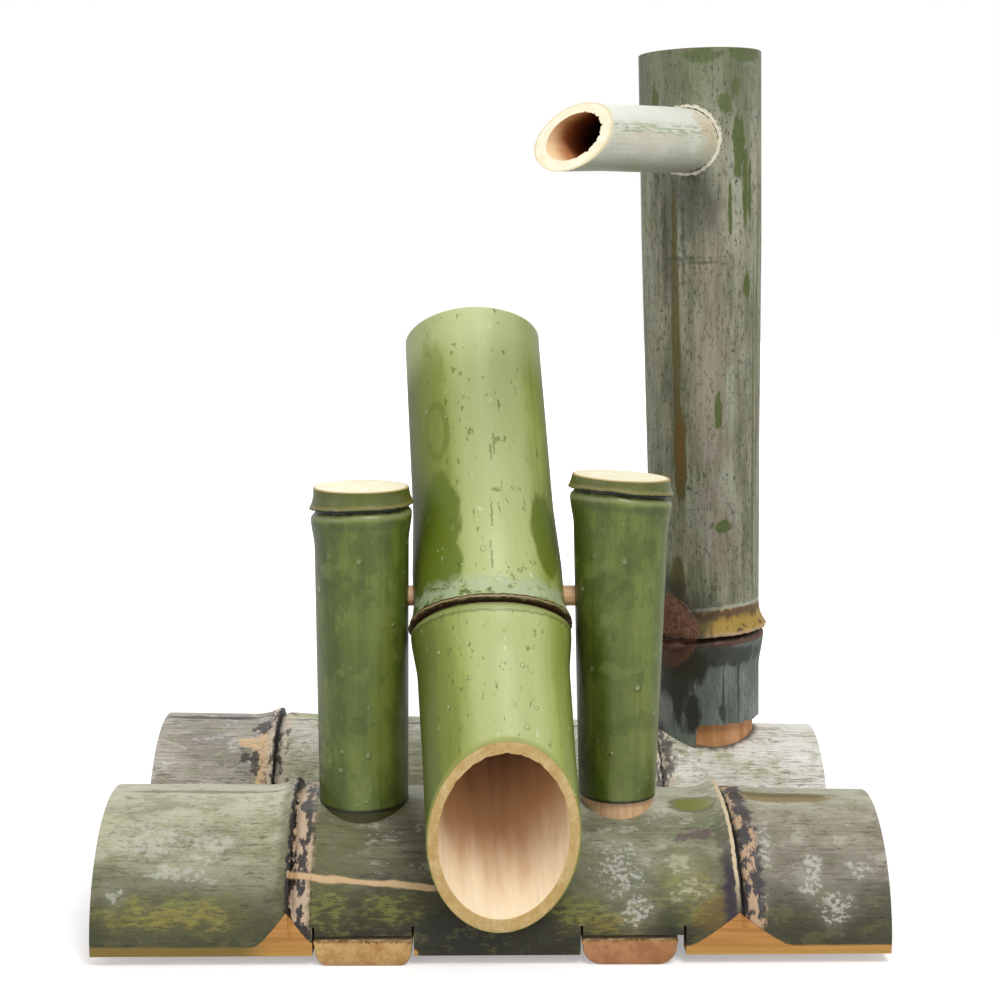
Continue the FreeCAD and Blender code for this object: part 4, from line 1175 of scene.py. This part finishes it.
# Painted shade: darker towards both sides, darkest near the edges.
f.tint(f.turn, ("4d5b14", 18, 60, 0.75), ("5c6b1e", -46, -80, 0.55))
f.tint(f.turn.size(), ("3f470f", 56, 84, 0.6))
f.tint(f.along, ("ccd4a0", -84, -108, 0.5))
f.glaze("5f7016", [(-22, 44, 20, 21), (-4, 44, 14, 20)], 0.85, wobble=0.3, soft=0.2)
f.glaze("5c6e14", [(-16, -49, 18, 16), (6, 58, 8, 8)], 0.8, wobble=0.3, soft=0.25)
f.glaze("7c8838", [(-80, 46, 26, 12), (60, 44, 40, 10), (50, -56, 40, 10)], 0.5)
f.lay("b4c0a4", f.past(joint, -9, 0, soft=6, ragged=3) * bloom.step(0.38, 0.55) * 0.65)
f.lay("3c4c22", f.past(joint, -8, 0, soft=4, ragged=4) * bloom.step(0.46, 0.38) * 0.75)
f.lay("5f6e24", splash * 0.6)
f.lay("5f6f1a", f.patch(-62, 42, 13, 12, soft=0.15, wobble=0.4) * 0.5
      - f.patch(-62, 42, 10, 8, soft=0.15, wobble=0.4) * 0.4)
f.tint(marks, ("dfe4c0", 0.68, 0.72, 0.45))
f.glaze("56681a", [
    (-52.8, -5.9, 4.2, 1.3), (-54, -9, 1.2, 3.4), (-49, -3, 3, 1.1), (-32.1, -4.8, 1.0, 4),
    (-20.5, -0.3, 6, 0.9), (-2.5, 2.0, 5, 1.0), (-69.7, -12.2, 2, 1.1), (-45.8, 23.2, 2, 1.2),
    (-52, -48.9, 2.2, 1.6), (-95, -20.2, 1.4, 1.2), (-94.6, 23.2, 1.2, 1.6),
    (-84.6, 17.5, 0.9, 1.4), (-68.5, 17.5, 1.2, 1.0), (-72.5, 31.6, 1.4, 1.0)],
        0.6, wobble=2.0, soft=0.6, grain=(0.5, 0.9))
f.bands(joint, ("43251b", -0.8, -0.1, 0.4, 0.7, 1), ("a08463", -0.1, 0.5, 0.3, 0.4, 0.85),
        ("3a1f16", 0.5, 1.6, 0.4, 0.5, 1), ("8f9a5c", 2.2, 5.0, 1.2, 0.8, 0.6),
        ("4d4a24", 5.0, 5.9, 0.8, 1.2, 0.5))
f.tint(mouth_depth(f), ("9fa052", 2.2, 0.4, 0.6))
# Standing drops; their pale colour is a painted highlight.
wet_and_glints = f.drops(0.3)
f.lay("c9d19c", wet_and_glints * 0.25)
rocker_finishes = [
    f.coat(fine * 0.1 + 0.36,
           fine * 0.08 + (wet_and_glints + splash * 0.3) * 0.5 + bloom * f.past(joint, -8, 0) * 0.25),
    sawn("rocker sawn", swing, ("dabf86", "c8a361"), "9c7a44", "a39a4c", 28.3, 0.5, 1.2),
    hollow("rocker hollow", swing, "ffe8c2", "cc996a", "4c2a18", rocker_depth, 38)]
finish_piece(rocker, "rocker", "rocker", rocker_finishes)

# %% [markdown]
# The slats, the dowel and the nails are plain stock. The slats show the fibres of a thick
# wall, torn at their sawn ends, and are painted darker towards the bottom, by the floor, as
# painted shade. The dowel and nails keep the CAD's own shape, because that is all there is
# to them, and only take a finish. The dowel's colours are lighter than its wood, as painted
# light for the shade it sits in.

# %% Finish of the slats, dowel and nails


def split_wood(name, tones, dark, torn):
    f = Finish(name, None, 0.6)
    height = f.across_side
    grain = f.noise(0.05, 0.16, detail=6.0, roughness=0.65)
    fibre = f.noise(0.3, 1.2, detail=3.0, shift=5.0)
    ragged = height + (f.noise(0.2, 0.9, detail=4.0, shift=4.0) - 0.5) * 5
    f.colour = grain.step(0.36, 0.64).over(paint(tones[0]), paint(tones[1]))
    f.lay(dark, fibre.step(0.55, 0.7) * 0.35)
    # Painted shade: darker towards the bottom, by the floor.
    f.lay(dark, height.step(4, 0) * 0.35)
    f.lay("3b2413", ragged.step(8.8, 9.8) * torn)
    f.lay("edd9b4", height.step(9.5, 9.9) * (1 - torn))
    return f.coat(grain * 0.3 + 0.45, grain * 0.25 + fibre * 0.12)


for name, piece, tones, torn in (
        ("left_slat", left_slat, ("cfaa6c", "b28449"), 0.9),
        ("right_slat", right_slat, ("bb8459", "a16c40"), 0.1)):
    finish_piece(piece, name, "stand",
                 [split_wood(name + " skin", ("c2924f", "9a6b36"), "6b431f", 0.5),
                  split_wood(name + " sawn", tones, "8a5a30", torn)], 30)
f = Finish("dowel painted lighter", dowel, 0.5)
turned = f.noise(0.02, 0.8, detail=4.0)
# Painted light: colours lighter than the wood, for the shade the dowel sits in.
f.colour = turned.step(0.35, 0.65).over(paint("ffd3a6"), paint("eab07a"))
dowel_painted_lighter = f.coat(turned * 0.2 + 0.4, turned * 0.15)
f = Finish("nail steel", dowel, 0.4)
f.shader.inputs["Metallic"].default_value = 1.0
tarnish = f.noise(0.8, 0.8, detail=4.0)
f.colour = tarnish.step(0.4, 0.65).over(paint("8f8c86"), paint("5d5046"))
nail_steel = f.coat(tarnish * 0.4 + 0.25, tarnish * 0.05)
for name, material in (("axle", dowel_painted_lighter), ("slat_nails", nail_steel)):
    for slot in frame["nodes"][name].material_slots:
        slot.material = material
print(len(bpy.data.materials), "materials")

# %% [markdown]
# The camera stands where the photograph's perspective puts it: 65 cm in front of the dowel,
# a little above the middle and tilted down by 8.5 degrees. A lamp high at the right front
# gives the long soft highlights, a weaker one fills the left, a third lights the back, and
# a white sky does the rest. The floor glows faintly for the camera only, so that it reads
# as white paper and still shows the shadow.

# %% Camera and lamps
camera = bpy.data.objects.new("camera", bpy.data.cameras.new("camera"))
camera.data.lens = 61.41
camera.data.sensor_width = 36
camera.matrix_world = (Matrix.Translation(Vector((-0.73, -693.65, 267.15)) * MM)
                       @ Matrix.Rotation(-0.006, 4, "Z")
                       @ Matrix.Rotation(math.pi / 2 - 0.149, 4, "X")
                       @ Matrix.Rotation(0.001, 4, "Z"))
bpy.context.scene.collection.objects.link(camera)
bpy.context.scene.camera = camera
for name, place, target, size, watts in (
        ("key", (0.4, -0.8, 1.45), (0, 0, 0.12), 0.7, 13),
        ("fill", (-1.2, -0.9, 0.6), (0, 0, 0.12), 0.9, 3),
        ("back", (-0.3, 1.3, 1.1), (0, 0, 0.15), 0.9, 5)):
    data = bpy.data.lights.new(name, "AREA")
    data.shape, data.size, data.energy = "DISK", size, watts
    lamp = bpy.data.objects.new(name, data)
    lamp.location = place
    lamp.rotation_euler = (Vector(target) - Vector(place)).to_track_quat("-Z", "Y").to_euler()
    bpy.context.scene.collection.objects.link(lamp)
    print(name, watts, "W")

# %% [markdown]
# The sky is white to the camera and in reflections, and half as strong where it lights the
# model, so that colours render about as they are written.

# %% Sky and floor
world = bpy.data.worlds.new("studio")
bpy.context.scene.world = world
world.use_nodes = True
world.node_tree.nodes.clear()
sky = Signal(world.node_tree)
camera_ray, glossy_ray, through_ray = [sky.node("LightPath", {}, {}, out=name) for name in (
    "Is Camera Ray", "Is Glossy Ray", "Is Transmission Ray")]
strength = camera_ray.most(glossy_ray * 0.8).most(through_ray).most(0.5)
background = sky.node("Background", {}, {"Color": (1, 1, 1, 1), "Strength": strength})
output = sky.tree.nodes.new("ShaderNodeOutputWorld")
sky.tree.links.new(background.socket, output.inputs[0])

floor = bpy.data.objects.new("floor", bpy.data.meshes.new("floor"))
floor.data.from_pydata([(-4, -4, 0), (4, -4, 0), (4, 4, 0), (-4, 4, 0)], [], [(0, 1, 2, 3)])
bpy.context.scene.collection.objects.link(floor)
f = Finish("white paper", None, 0.9)
f.shader.inputs["Emission Strength"].default_value = 1.0
seen = f.node("LightPath", {}, {}, out="Is Camera Ray")
away = (f.along * f.along + f.across_face * f.across_face).root().step(220, 700)
glow = seen.over(away.over((1, 1, 1, 1), (0.35, 0.35, 0.35, 1)), (0, 0, 0, 1))
f.tree.links.new(glow.socket, f.shader.inputs["Emission Color"])
f.colour = f.noise(0.02, 0.02).step(0, 1).over((0.86, 0.86, 0.86, 1), (0.84, 0.84, 0.84, 1))
floor.data.materials.append(f.coat())
bpy.context.scene.view_settings.view_transform = "Standard"
print("floor", [round(v, 1) for v in floor.dimensions], "m")
